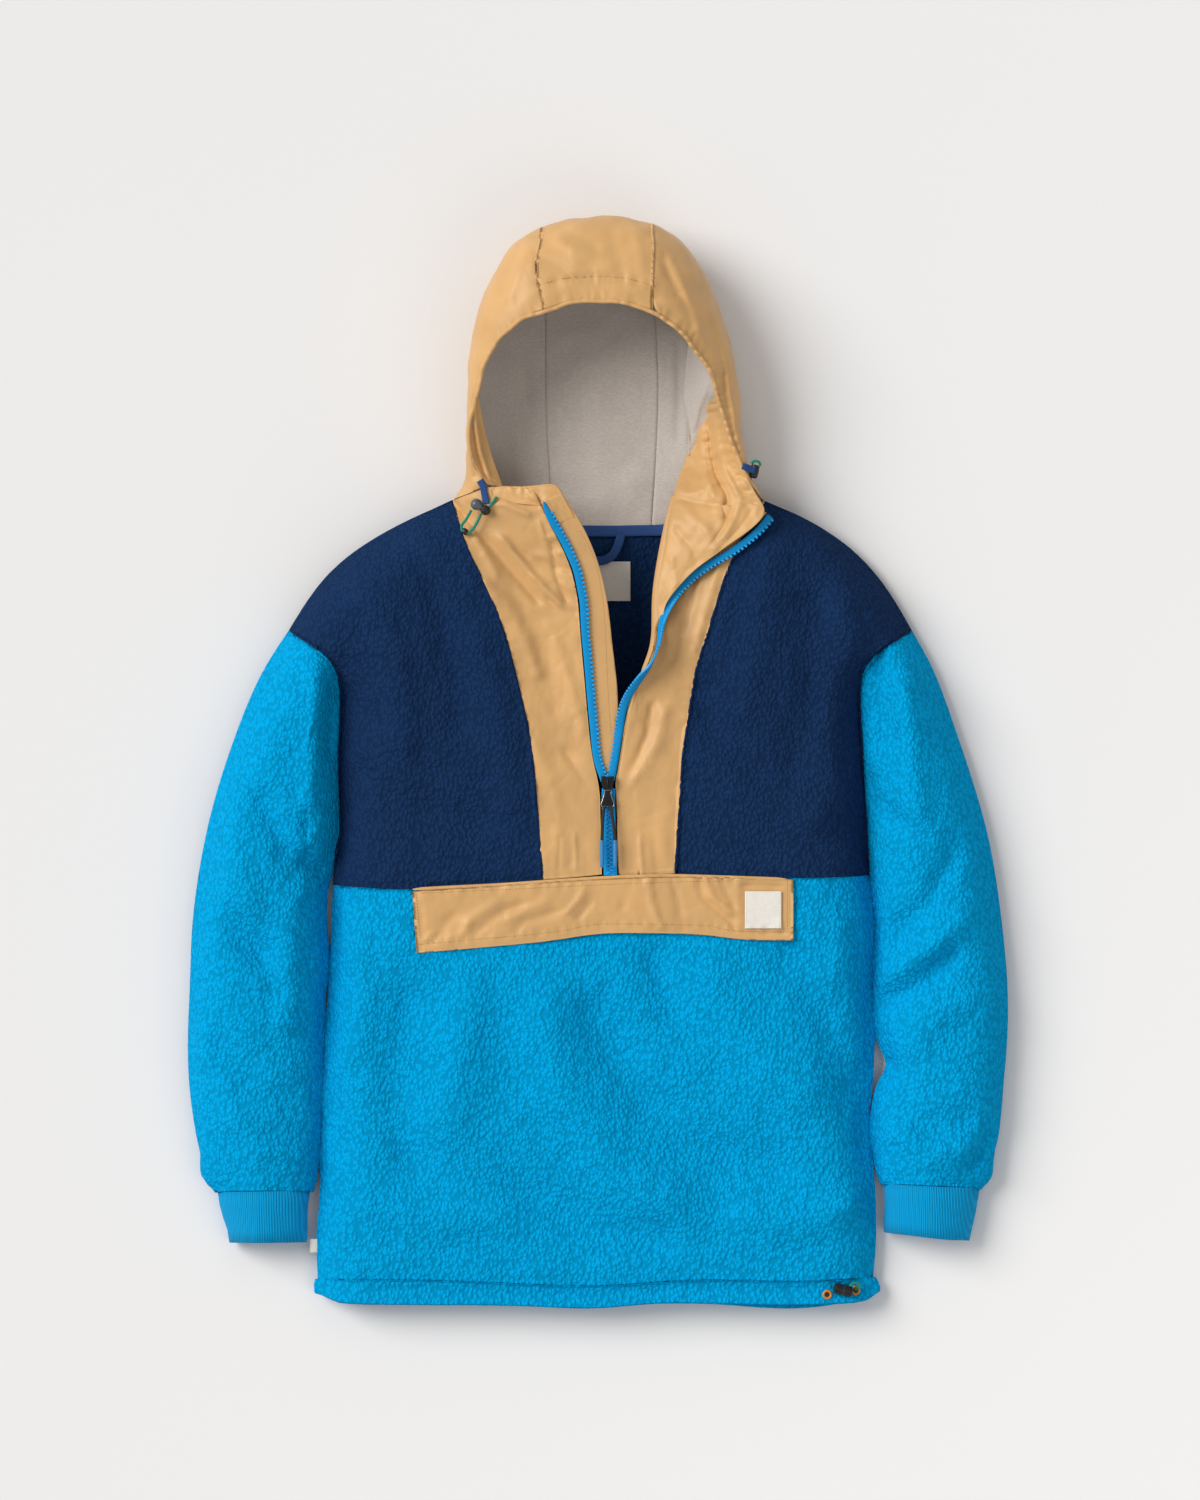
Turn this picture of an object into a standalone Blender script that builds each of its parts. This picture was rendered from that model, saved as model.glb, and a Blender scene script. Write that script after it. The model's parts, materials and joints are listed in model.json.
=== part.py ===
"""Hooded half-zip fleece, laid flat on its back with its own loft, front up.

Every cloth piece is a grid of outer points that shares its seams with its neighbours, turned into a
closed wall by moving those points along their normals. Tables are in millimetres, seen from above:
x to the right, y towards the hood, z up from the floor that the garment lies on.
"""
import math

import bmesh
import bpy
import numpy as np
from mathutils import Matrix, Vector

MM = 0.001

# Cloth and seams
GAP = 0.3                # between sewn pieces
WIDE_GAP = 1.2           # where a seam turns sharply, at the neck and the underarms
NECK_GAP = 3.0           # lining and facing stop short of the neck seam
FACING = 0.9
LAYER_GAP = 0.9          # between layers of one wall
SIDE_GAP = 6.0           # back yoke at the side folds
ZIP_GAP = 3.0            # placket beside its teeth
RIM_END_GAP = 4.5        # right lining short of the lapel
FACING_SET_BACK = 5.0    # lapel's facing short of the zip
FLAP = 1.8
ROD_SIDES = 12
FLEECE = 3.0
RIB_KNIT = 2.4
NYLON = 1.2
JERSEY = 1.0
TAPE = 0.8
HEM_WALL = 5.0           # the turned-up hem channel with its cord inside
SUNK = 1.0               # nylon lies this much below the fleece around it

# Loft: how high the upper layer stands over the floor, from the hood end to the hem
LOFT = (                 # y, height
    (260, 66), (180, 62), (60, 56), (-105, 52), (-300, 46), (-400, 38), (-495, 32),
)
FOLD_REACH = 55          # width of the round shoulder along an outline
CREASE_REACH = 34        # width of the slope into the valley between body and sleeve
NECK_REACH = 80          # width of the slope into the open neck
UNDER_REACH = 1.6        # width of the under-curl, in outline heights

# Outlines: x, y, z
SHOULDER_LEFT = ((-130, 234, 30), (-148, 226, 24), (-179, 212, 18), (-205, 198, 14), (-239, 172, 12),
                 (-260, 145, 11), (-277, 117, 11))
SHOULDER_RIGHT = ((151, 233, 30), (170, 226, 24), (198, 212, 18), (221, 198, 14), (248, 172, 12),
                  (267, 145, 11), (283, 117, 11))
SLEEVE_OUTER_LEFT = ((-277, 117, 11), (-295, 91, 11), (-310, 63, 11), (-330, 10, 11), (-347, -44, 11),
                     (-358, -98, 11), (-365, -152, 11), (-366, -206, 11), (-369, -260, 11),
                     (-365, -314, 11), (-357, -355, 11), (-351, -383, 10), (-343, -388, 10))
SLEEVE_OUTER_RIGHT = ((283, 117, 11), (299, 91, 11), (313, 55, 11), (332, 0, 11), (350, -58, 11),
                      (359, -105, 11), (365, -152, 11), (370, -206, 11), (369, -260, 11),
                      (363, -310, 11), (356, -362, 11), (351, -382, 10), (344, -385, 10))
SLEEVE_INNER_LEFT = ((-233, -81, 11), (-240, -98, 11), (-247, -118, 11), (-247, -142, 11),
                     (-243, -174, 11), (-246, -205, 11), (-249, -235, 11), (-250, -300, 11),
                     (-252, -340, 11), (-257, -380, 10), (-258, -387, 10))
SLEEVE_INNER_RIGHT = ((243, -80, 11), (247, -102, 11), (250, -130, 11), (251, -155, 11),
                      (249, -178, 11), (247.5, -203, 11), (252, -240, 11), (261, -271, 11),
                      (252, -297, 11), (247.5, -330, 11), (252, -366, 10), (258, -381, 10))
BODY_LEFT = ((-233, -81, 11), (-234, -112, 11), (-234, -134, 11), (-238, -188, 11), (-238, -215, 11),
             (-243, -246, 11), (-246, -275, 11), (-247.5, -320, 11), (-248.5, -380, 11),
             (-252, -440, 11), (-251, -467, 11))
BODY_RIGHT = ((243, -80, 11), (242, -103, 11), (243.5, -140, 11), (244, -172, 11), (243.5, -203, 11),
              (246.5, -235, 11), (245.5, -266, 11), (245, -291, 11), (242, -320, 11), (243, -345, 11),
              (248, -379, 11), (252, -430, 11), (248, -465, 11))
# Seam from the shoulder point down into the valley between body and sleeve, to the underarm
ARMHOLE_LEFT = ((-277, 117), (-259, 106), (-242, 94), (-231, 78), (-229.5, 55), (-231, 20),
                (-232, -13), (-230.5, -55), (-233, -81))
ARMHOLE_RIGHT = ((283, 117), (264, 106), (247, 94), (236, 78), (235, 55), (237, 25), (239, -10),
                 (241.5, -50), (243, -80))
VALLEY_LEFT = ((-236, 88, 38), (-230, 66, 28), (-229.5, 55, 24), (-232, -13, 18), (-230.5, -55, 15),
               (-233, -81, 11))
VALLEY_RIGHT = ((241, 88, 38), (236, 66, 28), (235, 55, 24), (239, -10, 18), (241.5, -50, 15),
                (243, -80, 11))
# Edge of the open neck on the right, where the front dips towards the back neck
NECK_RIGHT = ((76, 262, 20), (70, 238, 22), (63, 212, 27), (59, 184, 34), (55, 159, 42), (52, 136, 52))

# Seams on the front: x, y
YOKE_SEAM = ((-234, -112), (-166, -115.5), (-108, -112), (-48.6, -107.6), (9.1, -105), (15.3, -104.8),
             (70.2, -102), (176, -105), (242, -103))
NAVY_SEAM_LEFT = ((-130, 234), (-119.7, 197), (-99, 157), (-82, 112), (-73, 78), (-64, 40),
                  (-57.6, 2), (-48.6, -107.6))
HEM_SEAM = ((-251, -467), (-143, -467.6), (-4.5, -473), (88, -466.7), (177, -469), (248, -465))
HEM_EDGE = ((-253, -480), (-239, -487), (-161, -489), (-72, -489), (-8, -492.5), (35, -488.5),
            (88, -486), (135, -489), (210, -488), (241, -485.5), (254, -478))
HEM_EDGE_BACK = ((-253, -480), (-161, -486), (-8, -489), (88, -485), (180, -492.5), (254, -478))
BACK_YOKE_SEAM = ((-234, -112), (0, -112), (242, -103))

# Larger soft folds on the upper layer: x, y, angle of the long axis, half length, half width, height
FOLDS = (
    (-246, 110, -52, 26, 9, 6), (-262, 24, 20, 26, 15, -7), (-270, -92, 25, 22, 14, -7),
    (238, 128, -50, 26, 10, 6), (272, 24, -30, 34, 16, -8), (262, -36, -60, 26, 13, -7),
    (-150, 120, -62, 60, 16, 3), (-120, -20, -75, 70, 20, -3), (-292, -240, 70, 50, 14, -4),
    (300, -190, -30, 46, 14, -5), (170, 60, 62, 60, 18, 3), (-60, -250, 84, 90, 26, 3),
    (90, -330, -80, 90, 30, -3), (-170, -330, 80, 80, 24, -3), (180, -230, 84, 80, 22, 3),
)

# Zip: middle of each row of teeth, x, y; both meet at the slider
ZIP_LEFT = ((-47.7, 232), (-41.4, 217.4), (-34.2, 204.8), (-26.1, 189.5), (-18.5, 171.5),
            (-14.4, 153.5), (-12.2, 140), (-10.8, 115), (-8.1, 86), (-5.5, 55.4), (-3, 29), (0, 2.3),
            (6.4, -20), (7.4, -45), (9.1, -102.8))
ZIP_RIGHT = ((155.7, 219.2), (145.8, 207.5), (132.3, 195.8), (117.9, 185.9), (99, 175), (83.7, 163.4),
             (70.2, 149), (61.8, 135), (57.6, 122), (54.9, 104), (49, 87), (39, 73.4), (29.5, 59.9),
             (23.5, 45.5), (20, 25.7), (16.8, 5), (12.6, -20), (13.4, -45), (15.3, -102.8))
ZIP_BAND = 5.9           # width of one tape with its teeth
ZIP_THICK = 2.2
ZIP_CLOSED_TOP = -14     # y of the slider's upper end

# Right placket, from the navy seam to the roll line, over it, and back out to the zip:
# seam x, y; roll x, y; zip edge x, y; turn in degrees; how far the zip edge stands up
LAPEL = (
    (151, 233, 73, 238, 152.5, 223.5, 180, 0),
    (140, 214, 67, 216, 140.5, 209, 180, 0),
    (126, 192, 62, 192, 112, 188.5, 180, 0),
    (114.5, 165, 57.5, 167, 83.5, 168, 180, 0),
    (107, 140, 55, 142, 64, 141.5, 165, 2),
    (100, 118, 57, 119, 60.5, 118, 130, 9),
    (94, 99, 57, 99, 58, 99, 100, 10),
    (88, 79, 52, 79, 48, 79, 60, 7),
    (84, 55, 48, 55, 30.5, 53, 25, 2),
    (80, 28, 43, 28, 23.8, 28, 0, 0),
    (76.5, 3, 40, 3, 20.4, 3, 0, 0),
    (75, -22, 36, -22, 16, -20, 0, 0),
    (73, -52, 37, -52, 17, -52, 0, 0),
    (70.2, -102, 38, -103.3, 18.6, -104, 0, 0),
)
BEND_LENGTH = 14.0       # cloth taken up by the roll
LAPEL_ROWS = 8           # rows of the table where the facing shows
LAPEL_COLUMNS = 10       # grid columns from the zip edge round the roll

# Guard behind the left teeth: its free edge, x, y
GUARD_EDGE = ((-31.5, 240), (-14.4, 213.8), (0.9, 179.6), (9.9, 140), (13.5, 102), (17.5, 72.5),
              (19, 42.8), (17, 10), (15, -12))
FLAP_TOP = ((-166, -117.5), (-108, -114), (-48.6, -109.5), (70, -104.5), (176.4, -106.6))
FLAP_BOTTOM = ((-162, -173), (-46, -162.5), (-11, -156.5), (6, -154.8), (68, -155.2), (100, -156.5),
               (124, -160.7), (176.4, -161.6))
PATCH = (132.5, 166, -151, -117)         # left, right, bottom, top

# Hood, from the crown seam down to the neck: rim x, y, z; outline x, y, z; floor seam x, y, z;
# how straight the cloth slopes from outline to floor
HOOD_LEFT = (
    (-47.7, 402.8, 105, -50, 481, 50, -50, 481, 50, 0),
    (-66, 397.5, 104, -72, 468, 48, -49.6, 474, 25, 0),
    (-77.4, 388.4, 100, -91, 444, 46, -48.5, 455, 7, 0),
    (-87.3, 380, 96, -103, 417, 44, -47, 428, 0, 0),
    (-96.3, 366.8, 88, -112, 389, 42, -47, 395, 0, 0),
    (-103.5, 349.7, 80, -115.5, 360, 42, -47, 362, 0, 0),
    (-108, 325, 73, -118, 328, 44, -47, 330, 0, 0.1),
    (-115, 301, 67, -118.5, 303, 47, -46, 302, 0, 0.25),
    (-114.5, 279, 63, -117.5, 280, 46, -44, 278, 0, 0.3),
    (-110, 262, 61, -117, 262, 42, -42.5, 254, 0, 0.3),
    (-103.5, 253, 61, -120, 248, 36, -41.5, 230, 0, 0.2),
    (-99, 246, 60, -130, 234, 30, -41, 207, 0, 0),
)
HOOD_RIGHT = (
    (49.5, 402, 105, 50, 484.5, 50, 50, 484.5, 50, 0),
    (67.5, 391, 103, 76, 469, 48, 50, 477, 25, 0),
    (80, 380, 98, 95, 442, 46, 50, 457, 7, 0),
    (87.3, 369.5, 93, 107, 415, 44, 50, 430, 0, 0),
    (95.4, 358.7, 87, 118, 385, 43, 53, 396, 0, 0),
    (103.5, 344.3, 80, 125, 358, 43, 55, 362, 0, 0),
    (110, 322.7, 73, 129, 327, 44, 56, 330, 0, 0.15),
    (118, 298, 67, 130, 298, 47, 55, 300, 0, 0.35),
    (125, 276, 64, 132, 276, 49, 54, 276, 0, 0.5),
    (131, 261, 63, 137, 258, 46, 53, 254, 0, 0.6),
    (137, 251, 62, 144, 244, 38, 51, 230, 0, 0.5),
    (142, 243, 60, 151, 233, 30, 50, 207, 0, 0.2),
)
BRIM_MIDDLE = ((-47.7, 402.8, 105), (-22.5, 411.5, 106), (2, 412, 106.5), (26, 410.5, 106),
               (49.5, 402, 105))
CROWN_MIDDLE = ((-50, 481, 50), (-25, 489.5, 50), (2.5, 492.7, 50), (26, 491.5, 50), (50, 484.5, 50))
CROWN_FLOOR = ((-47, 428, 0), (2, 432, 0), (50, 430, 0))
RIM_STEPS = 4            # grid steps from rim to outline
FLOOR_STEPS = 6          # and from outline to the floor seam
FACING_FROM = 6          # hood row from which the rim shows a tan facing
FACING_STEPS = (6, 8)    # its width in grid steps, left and right

# Colours, roughness
BLUE = ((0.000, 0.275, 0.590), 0.95)
NAVY = ((0.007, 0.021, 0.062), 0.95)
TAN = ((0.658, 0.387, 0.159), 0.55)
HEATHER = ((0.330, 0.270, 0.240), 0.9)
ROYAL = ((0.022, 0.141, 0.184), 0.8)
CREAM = ((0.560, 0.500, 0.400), 0.85)
ZIP_BLUE = ((0.000, 0.305, 0.700), 0.4)
BLACK = ((0.012, 0.012, 0.014), 0.45)
GREEN = ((0.000, 0.220, 0.160), 0.8)
AMBER = ((0.650, 0.330, 0.040), 0.4)


# ---------------------------------------------------------------- curves and grids

def even(count):
    """Even spacing from 0 to 1."""
    return np.linspace(0, 1, count)


def rounded(count):
    """Spacing that is closer at both ends, for the round edges of a lofted layer."""
    return 0.5 - 0.5 * np.cos(math.pi * even(count))


def near_start(count):
    """Spacing that is closer at the start."""
    return even(count) ** 1.8


def smooth(points, spacing):
    """Points along a smooth curve through the given ones, at the given fractions of its length."""
    knots = np.asarray(points, float)
    ends = np.vstack([2 * knots[0] - knots[1], knots, 2 * knots[-1] - knots[-2]])
    t = np.linspace(0, 1, 16, endpoint=False)[:, None]
    runs = []
    for a, b, c, d in zip(ends, ends[1:], ends[2:], ends[3:]):
        runs.append(0.5 * (2 * b + (c - a) * t + (2 * a - 5 * b + 4 * c - d) * t ** 2
                           + (3 * b - a - 3 * c + d) * t ** 3))
    dense = np.vstack(runs + [knots[-1:]])
    walked = np.concatenate([[0], np.cumsum(np.linalg.norm(np.diff(dense, axis=0), axis=1))])
    at = np.asarray(spacing) * walked[-1]
    return np.stack([np.interp(at, walked, dense[:, k]) for k in range(dense.shape[1])], axis=1)


def fraction(line):
    """How far along a line each of its points lies, from 0 to 1."""
    walked = np.concatenate([[0], np.cumsum(np.linalg.norm(np.diff(line, axis=0), axis=1))])
    return walked / walked[-1]


def blend(top, bottom, left, right, u, v):
    """Surface between four edges, at the fractions u across and v down."""
    corners = ((1 - u) * (1 - v) * top[0] + u * (1 - v) * top[-1]
               + (1 - u) * v * bottom[0] + u * v * bottom[-1])
    return ((1 - v) * top[None] + v * bottom[None]
            + (1 - u) * left[:, None] + u * right[:, None] - corners)


def patch(top, bottom, left, right, height=None):
    """Grid between four edges with common corners, bent to height(x, y) away from the edges."""
    down = 0.5 * (fraction(left) + fraction(right))[:, None]
    across = (1 - down) * fraction(top)[None] + down * fraction(bottom)[None]
    down = np.broadcast_to(down, across.shape)
    grid = blend(top, bottom, left, right, across[..., None], down[..., None])
    if height:
        off = [line[:, 2] - height(line[:, 0], line[:, 1]) for line in (top, bottom, left, right)]
        grid[..., 2] = height(grid[..., 0], grid[..., 1]) + blend(*off, across, down)
    grid[0], grid[-1], grid[:, 0], grid[:, -1] = top, bottom, left, right
    return grid


# ---------------------------------------------------------------- heights of the two layers

def round_rise(t):
    """Quarter of an ellipse: straight up at an outline, level at its reach."""
    return np.sqrt(1 - (1 - np.clip(t, 0, 1)) ** 2)


def crease_rise(t):
    """Soft slope out of a crease."""
    return np.sin(np.clip(t, 0, 1) * math.pi / 2)


def nearest(line, x, y):
    """Distance from each place to a line seen from above, and the line's height there."""
    start, end = line[:-1], line[1:]
    step = (end - start)[:, :2]
    place = np.stack([x, y], axis=-1)[..., None, :]
    t = ((place - start[:, :2]) * step).sum(-1) / (step ** 2).sum(-1)
    t = np.clip(t, 0, 1)
    foot = start[:, :2] + t[..., None] * step
    distance = np.linalg.norm(place - foot, axis=-1)
    pick = distance.argmin(-1)[..., None]
    level = start[:, 2] + t * (end - start)[:, 2]
    return (np.take_along_axis(distance, pick, -1)[..., 0], np.take_along_axis(level, pick, -1)[..., 0])


def loft(x, y):
    """Height of the upper layer away from its edges, with the larger folds."""
    rows = np.array(sorted(LOFT), float)
    height = np.interp(y, rows[:, 0], rows[:, 1])
    for fold_x, fold_y, angle, length, width, rise in FOLDS:
        turn = math.radians(angle)
        along = (x - fold_x) * math.cos(turn) + (y - fold_y) * math.sin(turn)
        across = (y - fold_y) * math.cos(turn) - (x - fold_x) * math.sin(turn)
        height = height + rise * np.exp(-(along / length) ** 2 - (across / width) ** 2)
    return height


def dense(table):
    """A finely divided line through a table's points."""
    return smooth(table, even(8 * len(table)))


def upper(folds, creases=(), necks=()):
    """Height function of the upper layer between outlines, valleys and the open neck."""
    edges = [(dense(line), FOLD_REACH, round_rise) for line in folds]
    edges += [(dense(line), CREASE_REACH, crease_rise) for line in creases]
    edges += [(dense(line), NECK_REACH, crease_rise) for line in necks]

    def height(x, y):
        full = loft(x, y)
        level = full
        for line, reach, rise in edges:
            distance, start = nearest(line, x, y)
            level = np.minimum(level, start + (full - start) * rise(distance / reach))
        return level
    return height


def under(folds):
    """Height function of the lower layer: on the floor, curling up to each outline."""
    edges = [dense(line) for line in folds]

    def height(x, y):
        level = np.zeros_like(x)
        for line in edges:
            distance, start = nearest(line, x, y)
            level = np.maximum(level, start * (1 - round_rise(distance / (UNDER_REACH * start))))
        return level
    return height


def lifted(line, height):
    """A flat line given the heights of a layer."""
    return np.column_stack([line[:, :2], height(line[:, 0], line[:, 1])])


# ---------------------------------------------------------------- walls

GRIDS = {}               # cloth pieces as grids of outer points, rows towards the hem
NORMALS = {}


def grid_normals(grid):
    """Outward normals of a grid, not yet of unit length."""
    total = np.zeros_like(grid)
    facing = np.cross(grid[1:, 1:] - grid[:-1, :-1], grid[:-1, 1:] - grid[1:, :-1])
    total[:-1, :-1] += facing
    total[1:, :-1] += facing
    total[:-1, 1:] += facing
    total[1:, 1:] += facing
    return total


def place_key(point):
    return tuple(int(round(value * 100)) for value in point)


def unit(vectors):
    length = np.linalg.norm(vectors, axis=-1, keepdims=True)
    return vectors / np.maximum(length, 1e-9)


def rim_places(shape):
    """Row and column of each point on a grid's edge."""
    rows, cols = shape[:2]
    return [(i, j) for i in range(rows) for j in range(cols) if i in (0, rows - 1) or j in (0, cols - 1)]


def share_normals():
    """Give points that pieces have in common at their seams one common normal."""
    raw = {name: unit(grid_normals(grid)) for name, grid in GRIDS.items()}
    common = {}
    for name, grid in GRIDS.items():
        for i, j in rim_places(grid.shape):
            key = place_key(grid[i, j])
            common[key] = common.get(key, 0) + raw[name][i, j]
    for name, grid in GRIDS.items():
        for i, j in rim_places(grid.shape):
            raw[name][i, j] = common[place_key(grid[i, j])]
        NORMALS[name] = unit(raw[name])


def drawn_in(grid, normals, gaps):
    """The grid with its edges moved in by half a seam gap, along the cloth."""
    shift = np.zeros_like(grid)
    for swap in (False, True):
        for edge, inner, gap in ((0, 1, gaps[2 * swap]), (-1, -2, gaps[2 * swap + 1])):
            points, face, move = ((a.swapaxes(0, 1) if swap else a) for a in (grid, normals, shift))
            step = points[inner] - points[edge]
            along = unit(np.gradient(points[edge], axis=0))
            step = step - face[edge] * (step * face[edge]).sum(-1, keepdims=True)
            step = step - along * (step * along).sum(-1, keepdims=True)
            move[edge] += unit(step) * gap / 2
    for row in (0, -1):
        keys = [place_key(point) for point in grid[row]]
        for key in set(keys):
            run = [j for j, other in enumerate(keys) if other == key]
            if len(run) > 1 and run[-1] - run[0] == len(run) - 1:
                shift[row, run] = shift[row, run].mean(axis=0)
    return grid + shift


def wall(name, finish, outer, inner):
    """Closed body between two grids; points that coincide become one."""
    mesh = bmesh.new()
    known = {}

    def vertex(point):
        key = tuple(int(round(value * 1000)) for value in point)
        if key not in known:
            known[key] = mesh.verts.new(Vector(point) * MM)
        return known[key]

    def face(*points):
        corners = []
        for point in points:
            corner = vertex(point)
            if corner not in corners:
                corners.append(corner)
        if len(corners) > 2:
            mesh.faces.new(corners)

    rows, cols = outer.shape[:2]
    for i in range(rows - 1):
        for j in range(cols - 1):
            face(outer[i, j], outer[i + 1, j], outer[i + 1, j + 1], outer[i, j + 1])
            face(inner[i, j], inner[i, j + 1], inner[i + 1, j + 1], inner[i + 1, j])
    for i in range(rows - 1):
        face(outer[i + 1, 0], outer[i, 0], inner[i, 0], inner[i + 1, 0])
        face(outer[i, -1], outer[i + 1, -1], inner[i + 1, -1], inner[i, -1])
    for j in range(cols - 1):
        face(outer[0, j], outer[0, j + 1], inner[0, j + 1], inner[0, j])
        face(outer[-1, j + 1], outer[-1, j], inner[-1, j], inner[-1, j + 1])
    return finished(name, finish, mesh)


def finished(name, finish, mesh):
    """Object from a mesh, with smooth shading and its own material."""
    bmesh.ops.triangulate(mesh, faces=mesh.faces, quad_method="FIXED")
    bmesh.ops.recalc_face_normals(mesh, faces=mesh.faces)
    data = bpy.data.meshes.new(name)
    mesh.to_mesh(data)
    mesh.free()
    piece = bpy.data.objects.new(name, data)
    bpy.context.scene.collection.objects.link(piece)
    data.materials.append(finish_of(name, finish))
    data.shade_smooth()
    data.set_sharp_from_angle(angle=math.radians(40))
    return piece


def cloth(name, finish, thick, above=0.0, source=None, rows=np.s_[:], cols=np.s_[:], relief=0,
          gaps=(GAP,) * 4):
    """Wall on a piece's grid, or on a part of another piece's, at a height above its points.

    The seam gaps are those at the first and last row and at the first and last column.
    """
    grid = GRIDS[source or name][rows, cols]
    normals = NORMALS[source or name][rows, cols]
    outline = drawn_in(grid, normals, gaps)
    outer = outline + normals * (above + np.asarray(relief))
    inner = outline + normals * (above - thick)
    outer[..., 2] = np.maximum(outer[..., 2], 0)
    return wall(name, finish, outer, inner)


# ---------------------------------------------------------------- the body

BODY_TOP = upper(
    (SHOULDER_LEFT, SHOULDER_RIGHT, BODY_LEFT, BODY_RIGHT,
     [row[3:6] for row in HOOD_LEFT[5:]], [row[3:6] for row in HOOD_RIGHT[5:]]),
    (VALLEY_LEFT, VALLEY_RIGHT), (NECK_RIGHT,))
BODY_UNDER = under((SHOULDER_LEFT, SHOULDER_RIGHT, BODY_LEFT, BODY_RIGHT))
ARM_STEPS = 11           # grid steps down an armhole in front
BACK_ARM_STEPS = 6       # and in the flat back
YOKE_STEPS = 2           # from the underarm to the yoke seam
YOKE_COLUMNS = 7         # grid points across each front yoke
SIDE_ROWS = 10           # grid points down the sides below the yoke
BACK_COLUMNS = 15


def armhole(table, layer, steps):
    return lifted(smooth(table, even(steps + 1)), layer)


def side_seam(table, start, end, count):
    """Part of a side seam between two heights on the page."""
    line = smooth(table, even(200))
    reach = fraction(line)
    spots = np.interp([-start, -end], -line[:, 1], reach)
    return smooth(line, np.interp(even(count), (0, 1), spots))


def body_side(table, hole, layer, arm_steps, yoke_steps):
    """From the shoulder point down the armhole and the side to the yoke seam."""
    side = side_seam(table, table[0][1], table[1][1], yoke_steps + 1)
    return np.vstack([armhole(hole, layer, arm_steps)[:-1], side])


def build_fronts():
    down = ARM_STEPS + YOKE_STEPS + 1
    seam_left = smooth(YOKE_SEAM[:4], near_start(YOKE_COLUMNS))
    seam_mid = smooth(YOKE_SEAM[3:7], even(5))
    seam_right = smooth(YOKE_SEAM[6:], 1 - near_start(YOKE_COLUMNS)[::-1])
    yoke = lifted(np.vstack([seam_left, seam_mid[1:], seam_right[1:]]), BODY_TOP)
    yoke[0, 2], yoke[-1, 2] = BODY_LEFT[1][2], BODY_RIGHT[1][2]
    left_part, right_part = yoke[:YOKE_COLUMNS], yoke[-YOKE_COLUMNS:]

    shoulder = smooth(SHOULDER_LEFT[::-1], even(YOKE_COLUMNS))
    navy = lifted(smooth(NAVY_SEAM_LEFT, even(down)), BODY_TOP)
    navy[0] = SHOULDER_LEFT[0]
    navy[-1] = left_part[-1]
    outside = body_side(BODY_LEFT, ARMHOLE_LEFT, ARM_TOP_LEFT, ARM_STEPS, YOKE_STEPS)
    outside[0], outside[-1] = shoulder[0], left_part[0]
    GRIDS["front_yoke_left"] = patch(shoulder, left_part, outside, navy, BODY_TOP)

    shoulder = smooth(SHOULDER_RIGHT, even(YOKE_COLUMNS))
    navy = lifted(np.array(LAPEL, float)[:, :2], BODY_TOP)
    navy[0] = SHOULDER_RIGHT[0]
    navy[-1] = right_part[0]
    outside = body_side(BODY_RIGHT, ARMHOLE_RIGHT, ARM_TOP_RIGHT, ARM_STEPS, YOKE_STEPS)
    outside[0], outside[-1] = shoulder[-1], right_part[-1]
    GRIDS["front_yoke_right"] = patch(shoulder, right_part, navy, outside, BODY_TOP)

    hem = lifted(smooth(HEM_SEAM, fraction(yoke)), BODY_TOP)
    hem[0, 2], hem[-1, 2] = BODY_LEFT[-1][2], BODY_RIGHT[-1][2]
    left = side_seam(BODY_LEFT, BODY_LEFT[1][1], BODY_LEFT[-1][1], SIDE_ROWS)
    right = side_seam(BODY_RIGHT, BODY_RIGHT[1][1], BODY_RIGHT[-1][1], SIDE_ROWS)
    left[0], left[-1], right[0], right[-1] = yoke[0], hem[0], yoke[-1], hem[-1]
    GRIDS["front_lower"] = patch(yoke, hem, left, right, BODY_TOP)

    edge = lifted(smooth(HEM_EDGE, fraction(yoke)), BODY_TOP)
    edge[0, 2], edge[-1, 2] = BODY_LEFT[-1][2], BODY_RIGHT[-1][2]
    sides = [smooth((hem[k], 0.5 * hem[k] + 0.5 * edge[k], edge[k]), even(4)) for k in (0, -1)]
    GRIDS["hem_front"] = patch(hem, edge, sides[0], sides[1], BODY_TOP)


ARM_TOP_LEFT = upper((SHOULDER_LEFT, SLEEVE_OUTER_LEFT), (VALLEY_LEFT,))
ARM_TOP_RIGHT = upper((SHOULDER_RIGHT, SLEEVE_OUTER_RIGHT), (VALLEY_RIGHT,))
ARM_UNDER_LEFT = under((SHOULDER_LEFT, SLEEVE_OUTER_LEFT, BODY_LEFT))
ARM_UNDER_RIGHT = under((SHOULDER_RIGHT, SLEEVE_OUTER_RIGHT, BODY_RIGHT))


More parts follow.
